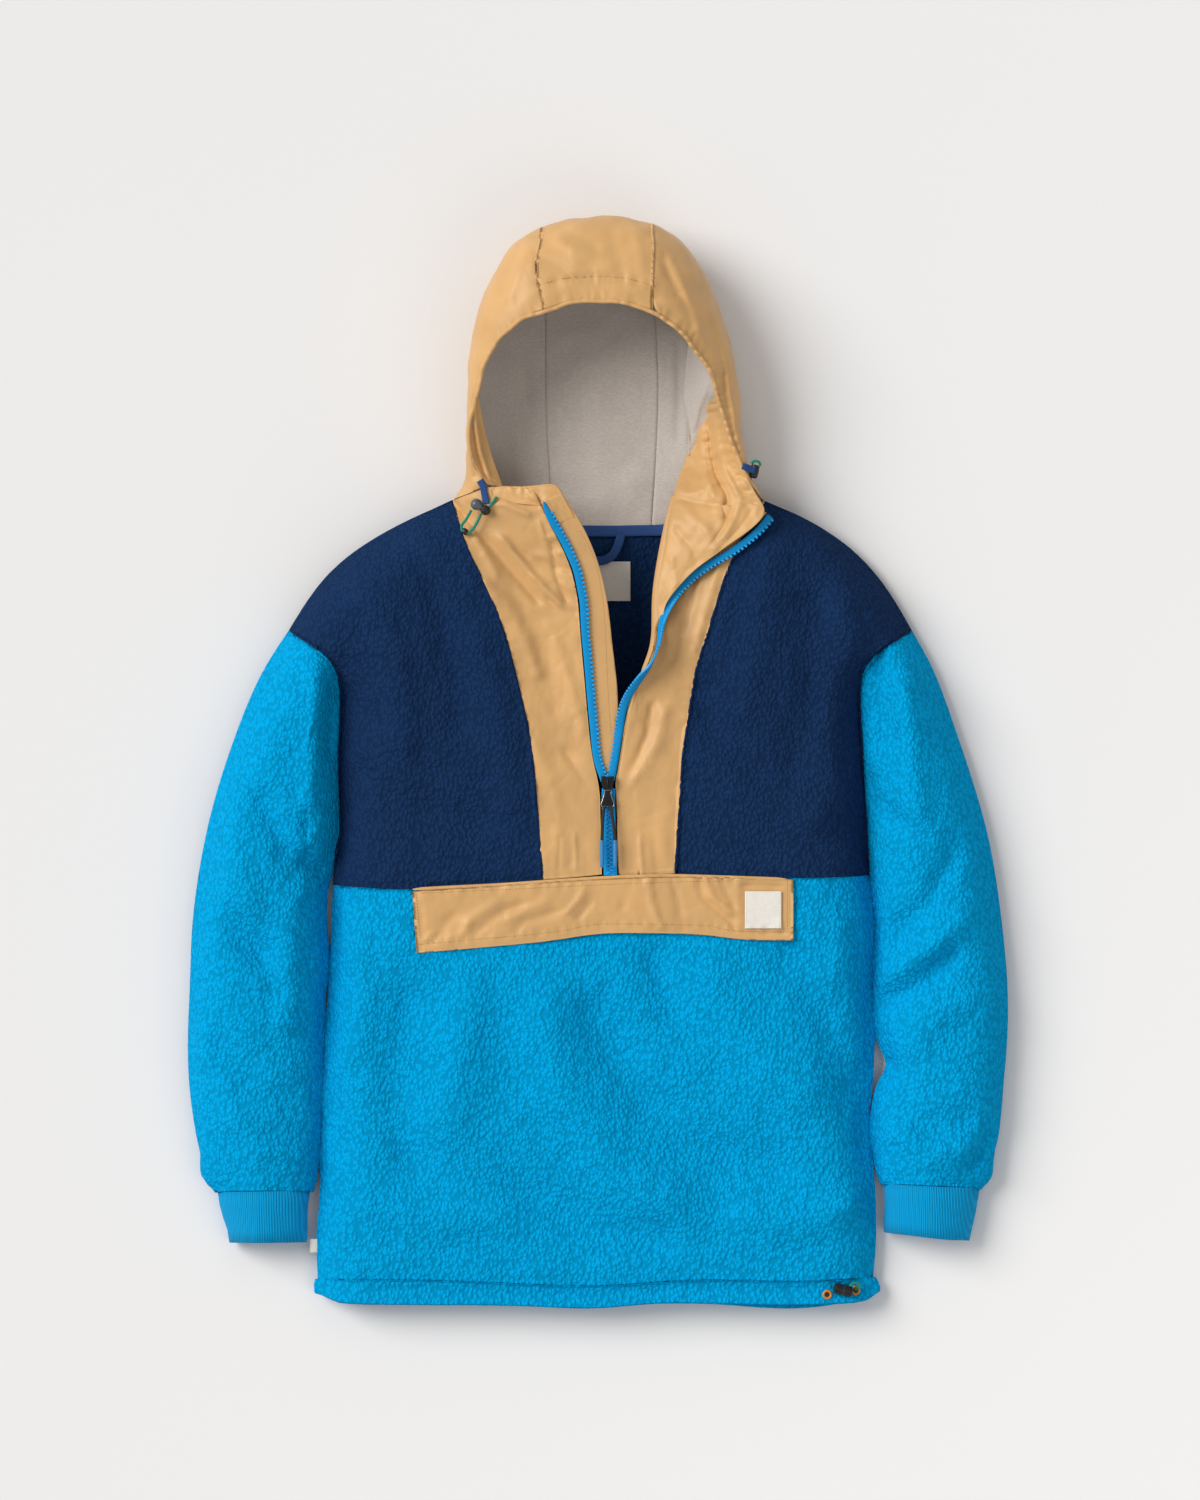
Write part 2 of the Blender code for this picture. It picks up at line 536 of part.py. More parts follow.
def build_backs():
    neck_left = HOOD_ROWS["left"][-1, RIM_STEPS:]
    neck_right = HOOD_ROWS["right"][-1, RIM_STEPS:][::-1]
    neck = np.vstack([neck_left, GRIDS["hood_centre"][-1, ::-1][2:-2:2], neck_right])
    shoulder_left = smooth(SHOULDER_LEFT[::-1], even(YOKE_COLUMNS))
    shoulder_right = smooth(SHOULDER_RIGHT, even(YOKE_COLUMNS))
    top = np.vstack([shoulder_left[:-1], neck, shoulder_right[1:]])
    seam = lifted(smooth(BACK_YOKE_SEAM, rounded(len(top))), BODY_UNDER)
    seam[0] = (*BACK_YOKE_SEAM[0], BODY_LEFT[1][2])
    seam[-1] = (*BACK_YOKE_SEAM[-1], BODY_RIGHT[1][2])
    left = body_side(BODY_LEFT, ARMHOLE_LEFT, ARM_UNDER_LEFT, BACK_ARM_STEPS, YOKE_STEPS)
    right = body_side(BODY_RIGHT, ARMHOLE_RIGHT, ARM_UNDER_RIGHT, BACK_ARM_STEPS, YOKE_STEPS)
    left[0], left[-1], right[0], right[-1] = top[0], seam[0], top[-1], seam[-1]
    GRIDS["back_yoke"] = patch(top, seam, left, right, BODY_UNDER)[:, ::-1]

    seam = lifted(smooth(BACK_YOKE_SEAM, rounded(BACK_COLUMNS)), BODY_UNDER)
    hem = lifted(smooth(HEM_SEAM, rounded(BACK_COLUMNS)), BODY_UNDER)
    edge = lifted(smooth(HEM_EDGE_BACK, rounded(BACK_COLUMNS)), BODY_UNDER)
    for line in (seam, hem, edge):
        line[0, 2], line[-1, 2] = BODY_LEFT[-1][2], BODY_RIGHT[-1][2]
    left = side_seam(BODY_LEFT, BODY_LEFT[1][1], BODY_LEFT[-1][1], SIDE_ROWS)
    right = side_seam(BODY_RIGHT, BODY_RIGHT[1][1], BODY_RIGHT[-1][1], SIDE_ROWS)
    left[0], left[-1], right[0], right[-1] = seam[0], hem[0], seam[-1], hem[-1]
    GRIDS["back_lower"] = patch(seam, hem, left, right, BODY_UNDER)[:, ::-1]
    sides = [smooth((hem[k], 0.5 * hem[k] + 0.5 * edge[k], edge[k]), even(4)) for k in (0, -1)]
    GRIDS["hem_back"] = patch(hem, edge, sides[0], sides[1], BODY_UNDER)[:, ::-1]


# ---------------------------------------------------------------- sleeves and cuffs

SLEEVE_STEPS = 13
CUFF_LENGTH = 46
RIBS = 64                # ribs round one cuff
RIB_RISE = 0.6


def around(front, back):
    """One row round a sleeve, from front and back rows that both start at the inner seam."""
    return np.vstack([front, back[::-1][1:]])


def build_sleeve(side, inner, outer, hole, top_layers, under_layers, cuff_edge):
    """Sleeve as one cloth round the arm, sewn at its inner edge, and its ribbed cuff."""
    out_line = smooth(outer, even(SLEEVE_STEPS + 1))
    in_line = smooth(inner, even(SLEEVE_STEPS + 1))
    halves = []
    for layers, steps in ((top_layers, ARM_STEPS), (under_layers, BACK_ARM_STEPS)):
        hole_line = armhole(hole, layers[0], steps)
        hole_line[0], hole_line[-1] = outer[0], inner[0]
        cuff_line = smooth((outer[-1], inner[-1]), rounded(steps + 1))
        cuff_line = lifted(cuff_line, layers[1])
        cuff_line[0], cuff_line[-1] = out_line[-1], in_line[-1]
        halves.append(patch(hole_line, cuff_line, out_line, in_line, layers[1])[:, ::-1])
    front, back = halves
    if side == "right":
        grid = np.concatenate([front, back[:, ::-1][:, 1:]], axis=1)
    else:
        grid = np.concatenate([back, front[:, ::-1][:, 1:]], axis=1)
    GRIDS["sleeve_" + side] = grid

    ring = grid[-1]
    tall = smooth(ring, even(2 * RIBS + 1))
    end = tall.copy()
    middle = tall[:, :2].mean(axis=0)
    for column, point in enumerate(end):
        point[0] = middle[0] + (point[0] - middle[0]) * 0.87 + cuff_edge[0]
        point[1] = point[1] - CUFF_LENGTH + cuff_edge[1] * (point[0] - middle[0]) / 40
        point[2] = point[2] * 0.94
    GRIDS["cuff_" + side] = np.stack([tall, end])


# ---------------------------------------------------------------- the hood

HOOD_ROWS = {}


def hood_row(row):
    """Section of the hood from its rim over the outline to the floor seam."""
    rim, side, floor = (np.array(row[k:k + 3], float) for k in (0, 3, 6))
    straight = row[9]
    points = []
    for t in even(RIM_STEPS + 1)[:-1] * math.pi / 2:
        flat = rim + (side - rim) * math.sin(t)
        flat[2] = side[2] + (rim[2] - side[2]) * math.cos(t)
        points.append(flat)
    for t in even(FLOOR_STEPS + 1) * math.pi / 2:
        share = 1 - math.cos(t)
        flat = side + (floor - side) * share
        drop = (1 - straight) * math.sin(t) + straight * share
        flat[2] = side[2] + (floor[2] - side[2]) * drop
        points.append(flat)
    return np.array(points)


def build_hood():
    left = np.array([hood_row(row) for row in HOOD_LEFT])
    right = np.array([hood_row(row) for row in HOOD_RIGHT])
    HOOD_ROWS.update(left=left, right=right)
    GRIDS["hood_side_left"] = left[:, ::-1]
    GRIDS["hood_side_right"] = right

    # Centre strip: brim, crown and back of the head, down to the neck
    columns = len(BRIM_MIDDLE)
    brim, crown = np.array(BRIM_MIDDLE, float), np.array(CROWN_MIDDLE, float)
    floor = smooth(CROWN_FLOOR, even(columns))
    strip = [hood_row((*brim[k], *crown[k], *floor[k], 0))[:RIM_STEPS + 1] for k in range(columns)]
    rows = list(np.array(strip).transpose(1, 0, 2))
    for k in range(1, len(HOOD_LEFT)):
        start, end = np.array(HOOD_LEFT[k][6:9], float), np.array(HOOD_RIGHT[k][6:9], float)
        line = np.array([start + (end - start) * t for t in even(columns)])
        bow = (crown[:, 1] - (crown[0, 1] + (crown[-1, 1] - crown[0, 1]) * even(columns)))
        line[:, 1] += bow * max(0.0, 1 - k / 4)
        rows.append(line)
    GRIDS["hood_centre"] = np.array(rows)[:, ::-1]


# ---------------------------------------------------------------- plackets

ZIP_LINES = {}           # middle of each row of teeth, at the rows of its placket


def build_plackets():
    rim = HOOD_ROWS["left"][-1, :RIM_STEPS + 1]
    navy = GRIDS["front_yoke_left"][:, -1]
    outside = np.vstack([rim, navy[1:]])
    ZIP_LINES["left"] = smooth(ZIP_LEFT, even(len(outside)))
    inside = lifted(beside_teeth(ZIP_LINES["left"], -1), placket_top)
    top = smooth((rim[0], (-80, 246, 62), (-62, 246, 66), inside[0]), even(6))
    bottom = lifted(np.linspace(navy[-1], inside[-1], 6), BODY_TOP)
    bottom[0], bottom[-1] = navy[-1], inside[-1]
    GRIDS["placket_left"] = patch(top, bottom, outside, inside, placket_top)
    GRIDS["placket_right"] = lapel_grid()


def build_guard_and_flap():
    zip_line = smooth(ZIP_LEFT[:13], even(12))
    edge = smooth(GUARD_EDGE, even(12))
    left = lifted(zip_line + (-2.0, 0), placket_top)
    right = lifted(edge, placket_top)
    ends = [lifted(np.linspace(left[k, :2], right[k, :2], 4), placket_top) for k in (0, -1)]
    GRIDS["zip_guard"] = patch(ends[0], ends[1], left, right, placket_top)

    top = lifted(smooth(FLAP_TOP, even(15)), BODY_TOP)
    bottom = lifted(smooth(FLAP_BOTTOM, even(15)), BODY_TOP)
    sides = [lifted(np.linspace(top[k, :2], bottom[k, :2], 5), BODY_TOP) for k in (0, -1)]
    GRIDS["pocket_flap"] = patch(top, bottom, sides[0], sides[1], BODY_TOP)

    left, right, bottom, top = PATCH
    corners = ((left, top), (right, top), (left, bottom), (right, bottom))
    lines = [lifted(np.linspace(corners[a], corners[b], 3), BODY_TOP)
             for a, b in ((0, 1), (2, 3), (0, 2), (1, 3))]
    GRIDS["flap_patch"] = patch(*lines, BODY_TOP)


def placket_top(x, y):
    """Front height with the chin collar standing up a little beside the left zip."""
    return BODY_TOP(x, y) + 8 * np.exp(-((x + 62) / 45) ** 2 - ((y - 236) / 34) ** 2)


def beside_teeth(line, side):
    """Where a placket ends beside a row of teeth; side 1 is right of teeth that run downwards."""
    along = unit(np.gradient(line, axis=0))
    right = np.column_stack([-along[:, 1], along[:, 0]])
    return line + right * np.reshape(side, (-1, 1)) * (ZIP_BAND / 2 + GAP)


def lapel_grid():
    """Right placket: up to the roll line, over it by its turn, and back out to the zip."""
    rows = []
    navy = GRIDS["front_yoke_right"][:, 0]
    table = np.array(LAPEL, float)
    teeth = smooth(ZIP_RIGHT, even(200))
    picked = [np.linalg.norm(teeth - row[4:6], axis=1).argmin() for row in table]
    ZIP_LINES["right"] = teeth[picked]
    edges = beside_teeth(ZIP_LINES["right"], np.cos(np.radians(table[:, 6])))
    for k, row in enumerate(table):
        seam, roll, edge = navy[k, :2], row[2:4], edges[k]
        turn, stand = math.radians(max(row[6], 1)), row[7]
        base = np.array([seam + (roll - seam) * t for t in even(5)])
        base = lifted(base, BODY_TOP)
        base[0] = navy[k]
        ahead = unit(roll - seam)
        radius = BEND_LENGTH / turn
        bend = []
        for t in even(5)[1:]:
            spot = roll + ahead * radius * math.sin(turn * t)
            level = base[-1, 2] + radius * (1 - math.cos(turn * t))
            bend.append((*spot, level))
        lift = bend[-1][2] - float(BODY_TOP(*(np.array([v]) for v in bend[-1][:2]))[0])
        start = np.array(bend[-1][:2])
        out = []
        for t in even(6)[1:]:
            spot = start + (edge - start) * t
            level = float(BODY_TOP(spot[:1], spot[1:])[0])
            out.append((*spot, level + lift * (1 - 0.35 * t) + stand * t))
        rows.append(np.vstack([base, bend, out]))
    return np.array(rows)[:, ::-1]


# ---------------------------------------------------------------- strips and small pieces

def ribbon(name, finish, line, width, thick, ups=None):
    """Flat band along a line of middle points, its upper face on the line."""
    line = np.asarray(line, float)
    along = unit(np.gradient(line, axis=0))
    up = np.broadcast_to((0.0, 0.0, 1.0), line.shape) if ups is None else ups
    side = unit(np.cross(along, up))
    up = unit(np.cross(side, along))
    half = np.broadcast_to(np.asarray(width, float) / 2, (len(line),))[:, None]
    outer = np.stack([line - side * half, line, line + side * half], axis=1)
    return wall(name, finish, outer, outer - up[:, None] * thick)


def cord(name, finish, points, diameter):
    """Plain round cord along a smooth line of points."""
    line = smooth(points, even(max(8, int(length_of(points) / (2.4 * diameter)))))
    curve = bpy.data.curves.new(name, "CURVE")
    curve.dimensions = "3D"
    curve.bevel_depth = diameter / 2 * MM
    curve.bevel_resolution = 2
    curve.use_fill_caps = True
    spline = curve.splines.new("POLY")
    spline.points.add(len(line) - 1)
    for knot, point in zip(spline.points, line):
        knot.co = (*(point * MM), 1)
    piece = bpy.data.objects.new(name, curve)
    bpy.context.scene.collection.objects.link(piece)
    curve.materials.append(finish_of(name, finish))
    return piece


def finish_of(name, finish):
    """Material for one piece."""
    colour, roughness = finish
    material = bpy.data.materials.new(name)
    material.use_nodes = True
    shader = material.node_tree.nodes["Principled BSDF"]
    shader.inputs["Base Color"].default_value = (*colour, 1)
    shader.inputs["Roughness"].default_value = roughness
    return material


def turned_rod(name, finish, start, ahead, stations):
    """Round solid along a line: distance along it and radius at each station."""
    ahead = unit(np.array(ahead, float))
    side = unit(np.cross(ahead, (0.0, 0.0, 1.0)))
    up = np.cross(side, ahead)
    mesh = bmesh.new()
    rings = []
    for distance, radius in stations:
        ring = []
        for turn in even(ROD_SIDES + 1)[:-1] * 2 * math.pi:
            point = start + ahead * distance + (side * math.cos(turn) + up * math.sin(turn)) * radius
            ring.append(mesh.verts.new(Vector(point) * MM))
        rings.append(ring)
    for first, second in zip(rings, rings[1:]):
        for k in range(ROD_SIDES):
            mesh.faces.new((first[k], first[k - 1], second[k - 1], second[k]))
    mesh.faces.new(rings[0])
    mesh.faces.new(rings[-1][::-1])
    return finished(name, finish, mesh)


def block(name, finish, centre, size, bevel):
    """Box with rounded edges."""
    mesh = bmesh.new()
    bmesh.ops.create_cube(mesh, size=1)
    bmesh.ops.scale(mesh, vec=Vector(size) * MM, verts=mesh.verts)
    bmesh.ops.translate(mesh, vec=Vector(centre) * MM, verts=mesh.verts)
    bmesh.ops.bevel(mesh, geom=mesh.edges, offset=bevel * MM, segments=2, affect="EDGES", profile=0.5)
    return finished(name, finish, mesh)


def plate(name, finish, outline, level, thick):
    """Flat plate with an outline seen from above."""
    mesh = bmesh.new()
    lower = [mesh.verts.new(Vector((x, y, level)) * MM) for x, y in outline]
    face = mesh.faces.new(lower)
    raised = bmesh.ops.extrude_face_region(mesh, geom=[face])["geom"]
    moved = [item for item in raised if isinstance(item, bmesh.types.BMVert)]
    bmesh.ops.translate(mesh, vec=Vector((0, 0, thick)) * MM, verts=moved)
    return finished(name, finish, mesh)


def length_of(points):
    return float(np.linalg.norm(np.diff(np.asarray(points, float), axis=0), axis=1).sum())


def clear_scene():
    for item in list(bpy.data.objects):
        bpy.data.objects.remove(item)


def build():
    clear_scene()
    build_hood()
    build_fronts()
    build_backs()
    build_sleeve("left", SLEEVE_INNER_LEFT, SLEEVE_OUTER_LEFT, ARMHOLE_LEFT,
                 (ARM_TOP_LEFT, upper((SLEEVE_OUTER_LEFT, SLEEVE_INNER_LEFT), (VALLEY_LEFT,))),
                 (ARM_UNDER_LEFT, under((SLEEVE_OUTER_LEFT, SLEEVE_INNER_LEFT))), (-2, 0))
    build_sleeve("right", SLEEVE_INNER_RIGHT, SLEEVE_OUTER_RIGHT, ARMHOLE_RIGHT,
                 (ARM_TOP_RIGHT, upper((SLEEVE_OUTER_RIGHT, SLEEVE_INNER_RIGHT), (VALLEY_RIGHT,))),
                 (ARM_UNDER_RIGHT, under((SLEEVE_OUTER_RIGHT, SLEEVE_INNER_RIGHT))), (-2, -3))
    build_plackets()
    build_guard_and_flap()
    share_normals()
    build_cloth()
    build_zip()
    build_neck_pieces()
    build_hood_fittings()
    build_hem_fittings()


def build_cloth():
    for name in ("front_lower", "back_lower"):
        cloth(name, BLUE, FLEECE)
    for name in ("sleeve_left", "sleeve_right"):
        cloth(name, BLUE, FLEECE, gaps=(WIDE_GAP, GAP, GAP, GAP))
    for name in ("front_yoke_left", "front_yoke_right"):
        cloth(name, NAVY, FLEECE)
    cloth("back_yoke", NAVY, FLEECE, gaps=(WIDE_GAP, GAP, SIDE_GAP, SIDE_GAP))
    for name in ("hem_front", "hem_back"):
        cloth(name, BLUE, HEM_WALL)
    for name in ("cuff_left", "cuff_right"):
        ribs = np.zeros((2, 2 * RIBS + 1, 1))
        ribs[:, 1::2] = RIB_RISE
        cloth(name, BLUE, RIB_KNIT, above=-RIB_RISE, relief=ribs)
    cloth("hood_centre", TAN, NYLON)
    cloth("lining_centre", HEATHER, JERSEY, above=-NYLON - LAYER_GAP, source="hood_centre",
          gaps=(GAP, NECK_GAP, WIDE_GAP, WIDE_GAP))
    for side in ("left", "right"):
        hood = "hood_side_" + side
        cloth(hood, TAN, NYLON, gaps=(GAP, WIDE_GAP, GAP, GAP))
        cloth("lining_" + side, HEATHER, JERSEY, above=-NYLON - LAYER_GAP, source=hood,
              gaps=(GAP, NECK_GAP if side == "left" else RIM_END_GAP, GAP, GAP))
    cloth("placket_left", TAN, NYLON, above=-SUNK, gaps=(GAP, WIDE_GAP, GAP, ZIP_GAP))
    cloth("placket_right", TAN, NYLON, above=-SUNK, gaps=(GAP, WIDE_GAP, ZIP_GAP, GAP))
    low = -NYLON - JERSEY - 2 * LAYER_GAP
    cloth("hood_facing_left", TAN, FACING, above=low, source="hood_side_left",
          rows=np.s_[FACING_FROM:], cols=np.s_[-1 - FACING_STEPS[0]:], gaps=(GAP, NECK_GAP, GAP, GAP))
    cloth("hood_facing_right", TAN, FACING, above=low, source="hood_side_right",
          rows=np.s_[FACING_FROM:-1], cols=np.s_[:FACING_STEPS[1] + 1])
    cloth("facing_right", TAN, FACING, above=-SUNK - NYLON - LAYER_GAP, source="placket_right",
          rows=np.s_[:LAPEL_ROWS], cols=np.s_[:LAPEL_COLUMNS], gaps=(GAP, GAP, FACING_SET_BACK, GAP))
    cloth("zip_guard", TAN, NYLON, above=-SUNK - NYLON - GAP)
    cloth("pocket_flap", TAN, FLAP, above=FLAP + 2 * GAP)
    cloth("flap_patch", CREAM, TAPE, above=FLAP + TAPE + 3 * GAP)


# ---------------------------------------------------------------- zip

SLIDER_PLACE = (9.5, -20.0)
SLIDER = (12.0, 12.0, 4.2)
PULL_TAB = ((-3.2, 0), (3.2, 0), (4.4, -5), (6.2, -12), (5.4, -15.2), (0, -15.4), (-5.4, -15.2),
            (-6.2, -12), (-4.4, -5))
PULL_THICK = 2.0
PULL_AXIS = -27.6        # y of the line that the pull turns on
TAB_START = -26.4        # y of the tab's upper end
PULL_CORDS = (                   # x, y from the tab's end to the moulded tip
    ((6.2, -42.1), (5.4, -50), (4.8, -60), (4.5, -71)),
    ((12.6, -42.1), (13.6, -50), (15.2, -60), (16.4, -71)),
)
PULL_CORD = 2.8
PULL_TIP = ((0.3, 1.9), (2.0, 2.1), (20.0, 2.1), (24.0, 1.7), (25.3, 0.8))   # distance, radius


def build_zip():
    """Both rows of teeth with their tapes, the slider and its pull."""
    turn = np.radians(np.array(LAPEL, float)[:, 6])
    lift = {"left": 0.6, "right": 1.8 - 1.2 * np.cos(turn) + 3.0 * np.sin(turn)}
    edge = {"left": GRIDS["placket_left"][:, -1], "right": GRIDS["placket_right"][:, 0]}
    for side, line in ZIP_LINES.items():
        level = edge[side][:, 2] + lift[side]
        ribbon("zip_tape_" + side, ZIP_BLUE, np.column_stack([line, level]), ZIP_BAND, ZIP_THICK)
    x, y = SLIDER_PLACE
    top = chain_top()
    block("zip_slider", BLACK, (x, y, top + GAP + SLIDER[2] / 2), SLIDER, bevel=1.2)
    level = top + GAP + 1.2
    pull = [plate("zip_pull_tab", BLACK, [(x + px, TAB_START + py) for px, py in PULL_TAB],
                  level, PULL_THICK)]
    for side, points in zip(("left", "right"), PULL_CORDS):
        route = [(px, py, level + PULL_CORD / 2) for px, py in points]
        pull.append(cord("pull_cord_" + side, BLACK, route, PULL_CORD))
        pull.append(turned_rod("pull_tip_" + side, ZIP_BLUE, np.array(route[-1]), (0, -1, 0), PULL_TIP))
    axis = bpy.data.objects.new("pull_axis", None)
    axis.location = Vector((x, PULL_AXIS, level + PULL_THICK / 2)) * MM
    bpy.context.scene.collection.objects.link(axis)
    for piece in pull:
        piece.parent = axis
        piece.matrix_parent_inverse = Matrix.Translation(-axis.location)


def chain_top():
    """Height of the closed chain's upper face below the slider."""
    edges = (GRIDS["placket_left"][:, -1], GRIDS["placket_right"][:, 0])
    places = [SLIDER_PLACE[1] - SLIDER[1] / 2, SLIDER_PLACE[1] + SLIDER[1] / 2]
    levels = [np.interp(np.negative(places), -edge[:, 1], edge[:, 2]).max() for edge in edges]
    return max(levels) + 0.8


# ---------------------------------------------------------------- neck, hood and hem fittings

NECK_TAPE = ((-50, 207, 4.9), (-10, 206.5, 4.9), (20, 206.5, 4.9), (51, 207, 4.9))
NECK_TAPE_WIDTH = 10
HANG_LOOP = ((22, 204, 6.1), (19, 194, 7.5), (14, 185, 9), (6, 180, 9.5), (-4, 180.5, 9.5),
             (-14, 186, 8.5), (-20, 195, 7.2), (-22, 204, 6.1))
HANG_LOOP_WIDTH = 8
NECK_LABEL = (-14, 30, 143.5, 179)       # left, right, bottom, top
LOCK_LOOP_LEFT = ((-105.5, 251.5, 61.9), (-102.5, 246.5, 61.9), (-101.2, 240, 62.2), (-100.2, 235, 63.2),
                  (-99.6, 230.6, 64.0))
LOCK_LOOP_RIGHT = ((130.5, 264.5, 65.0), (133.5, 263.4, 64.2), (137.5, 261.8, 62.0), (141.6, 260, 60.2))
LOCK_LEFT = ((-108.4, 230, 62.8), (-100, 224.6, 65.6))   # centres of its two balls
LOCK_BALL = 4.5
LOCK_RIGHT = (143.6, 259, 55)
LOCK_RIGHT_SIZE = (9.5, 12.6, 8)
HOOD_CORD_LEFT = ((-104.2, 221.4, 63.2), (-107, 215, 61.6), (-111, 208.5, 60.2), (-115.5, 204.5, 59.2),
                  (-120.5, 205.5, 59.1), (-121.5, 211, 59.2), (-117.5, 216.5, 60.2), (-112.8, 224.8, 61.4))
HOOD_CORD_LEFT_END = ((-96.6, 228, 64.4), (-93, 232.5, 64.2), (-90, 236.8, 63.9))
HOOD_CORD_RIGHT = ((142.2, 266.6, 56), (144.6, 269, 56), (149.1, 268, 55), (150.1, 264.5, 54))
HOOD_CORD = 2.0
HEM_EYELETS = ((207, -480.2), (232.2, -476.6))
EYELET_RING = (3.3, 1.1)                 # radius to the middle of the ring, and of its section
HEM_LOCK = ((213.5, -473.5), (227.5, -479.5))
HEM_LOCK_RADIUS = 4.2
HEM_CORD = ((0, -476.2), (0, 0))
SIDE_TAG = ((-251.8, -436.5, 11.6), (-258.2, -436.5, 11.6))
SIDE_TAG_WIDTH = 12.6


def build_neck_pieces():
    ribbon("neck_tape", ROYAL, smooth(NECK_TAPE, even(9)), NECK_TAPE_WIDTH, TAPE)
    ribbon("hang_loop", ROYAL, smooth(HANG_LOOP, even(17)), HANG_LOOP_WIDTH, TAPE)
    left, right, bottom, top = NECK_LABEL
    height = FLEECE + GAP + TAPE
    middle = (top + bottom) / 2
    ribbon("neck_label", CREAM, [(left, middle, height), (0.5 * (left + right), middle, height),
                                 (right, middle, height)], top - bottom, TAPE)
    ribbon("side_tag", CREAM, SIDE_TAG, SIDE_TAG_WIDTH, 1.2)


def build_hood_fittings():
    ribbon("lock_loop_left", ROYAL, smooth(LOCK_LOOP_LEFT, even(7)), 6.0, TAPE)
    ribbon("lock_loop_right", ROYAL, smooth(LOCK_LOOP_RIGHT, even(9)), 6.0, TAPE)
    start, end = (np.array(point, float) for point in LOCK_LEFT)
    ahead = end - start
    run = length_of((start, end))
    ball = [(-4.4, 1.2), (-3.2, 3.2), (0, LOCK_BALL), (3.2, 3.3)]
    stations = ball + [(run / 2, 2.6)] + [(run - distance, radius) for distance, radius in ball[::-1]]
    turned_rod("cord_lock_left", BLACK, start, ahead, stations)
    block("cord_lock_right", BLACK, LOCK_RIGHT, LOCK_RIGHT_SIZE, bevel=1.5)
    cord("hood_cord_left", GREEN, HOOD_CORD_LEFT, HOOD_CORD)
    cord("hood_cord_left_end", GREEN, HOOD_CORD_LEFT_END, HOOD_CORD)
    cord("hood_cord_right", GREEN, HOOD_CORD_RIGHT, HOOD_CORD)


def over(name, x, y, above):
    """A place over a finished piece, at a height above its real surface, and that surface's normal."""
    bpy.context.view_layer.update()
    _, spot, up, _ = bpy.data.objects[name].ray_cast(Vector((x, y, 500)) * MM, Vector((0, 0, -1)))
    return np.array(spot) / MM + np.array(up) * above, np.array(up)


def build_hem_fittings():
    for number, (x, y) in enumerate(HEM_EYELETS, start=1):
        spot, up = over("hem_front", x, y, EYELET_RING[1] + 2 * GAP)
        bpy.ops.mesh.primitive_torus_add(
            major_radius=EYELET_RING[0] * MM, minor_radius=EYELET_RING[1] * MM,
            major_segments=14, minor_segments=6, location=Vector(spot) * MM,
            rotation=Vector(up).to_track_quat("Z", "Y").to_euler())
        ring = bpy.context.object
        ring.name = f"hem_eyelet_{number}"
        ring.data.materials.append(finish_of(ring.name, AMBER))
        ring.data.shade_smooth()
    start, end = (over("hem_front", *place, HEM_LOCK_RADIUS + 3 * GAP)[0] for place in HEM_LOCK)
    run = length_of((start, end))
    stations = [(0, 2.6), (0.8, 3.6), (2.5, HEM_LOCK_RADIUS), (run - 2.5, HEM_LOCK_RADIUS),
                (run - 0.8, 3.6), (run, 2.6)]
    turned_rod("hem_cord_lock", BLACK, start, end - start, stations)
    eyelet = over("hem_front", *HEM_EYELETS[1], 1.6)[0] + (0.8, 0.3, 0)
    route = [eyelet, eyelet + (3.2, 3.0, 2.6), eyelet + (1.5, 8.0, 3.8), eyelet + (-5.5, 9.3, 4.8),
             eyelet + (-10.5, 7.6, 5.2)]
    cord("hem_cord", GREEN, route, HOOD_CORD)


build()
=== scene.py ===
"""Hooded half-zip fleece laid flat: its fine cloth, zip, cords and labels, and the studio round it.

Works as an add-on with a panel in the 3D view's sidebar, and builds everything when run as a script.
Lengths in the tables are in millimetres, in the part's frame: X across, Y from the hem to the hood, Z up.
"""
import json
import math

import bmesh
import bpy
import numpy as np
from bpy.props import FloatProperty, FloatVectorProperty, IntProperty, PointerProperty
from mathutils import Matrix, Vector, noise
from mathutils.bvhtree import BVHTree
from mathutils.kdtree import KDTree

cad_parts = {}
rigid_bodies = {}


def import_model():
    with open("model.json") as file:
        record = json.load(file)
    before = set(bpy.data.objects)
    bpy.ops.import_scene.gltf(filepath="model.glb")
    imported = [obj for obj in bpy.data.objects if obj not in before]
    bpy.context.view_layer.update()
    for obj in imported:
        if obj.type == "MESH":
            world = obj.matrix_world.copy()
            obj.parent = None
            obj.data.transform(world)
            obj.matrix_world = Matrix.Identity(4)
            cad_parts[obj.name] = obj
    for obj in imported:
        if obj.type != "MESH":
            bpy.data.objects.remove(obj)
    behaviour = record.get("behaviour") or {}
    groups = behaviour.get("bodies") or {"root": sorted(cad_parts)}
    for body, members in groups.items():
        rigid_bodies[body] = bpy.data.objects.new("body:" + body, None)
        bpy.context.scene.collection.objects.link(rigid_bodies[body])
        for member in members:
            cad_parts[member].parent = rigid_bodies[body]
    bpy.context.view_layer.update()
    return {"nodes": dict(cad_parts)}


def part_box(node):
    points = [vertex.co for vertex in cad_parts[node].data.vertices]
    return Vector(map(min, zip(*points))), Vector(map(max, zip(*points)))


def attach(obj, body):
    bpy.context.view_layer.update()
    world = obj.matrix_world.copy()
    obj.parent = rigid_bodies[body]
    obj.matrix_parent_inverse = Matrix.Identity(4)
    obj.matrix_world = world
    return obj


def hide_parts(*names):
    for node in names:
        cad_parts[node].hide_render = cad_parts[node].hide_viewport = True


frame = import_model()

bl_info = {
    "name": "Hooded Half-Zip Fleece",
    "version": (1, 0, 0),
    "blender": (4, 5, 0),
    "location": "View3D > Sidebar > Fleece",
    "description": "Fine cloth, zip, cords and labels for a hooded half-zip fleece laid flat",
    "category": "Object",
}

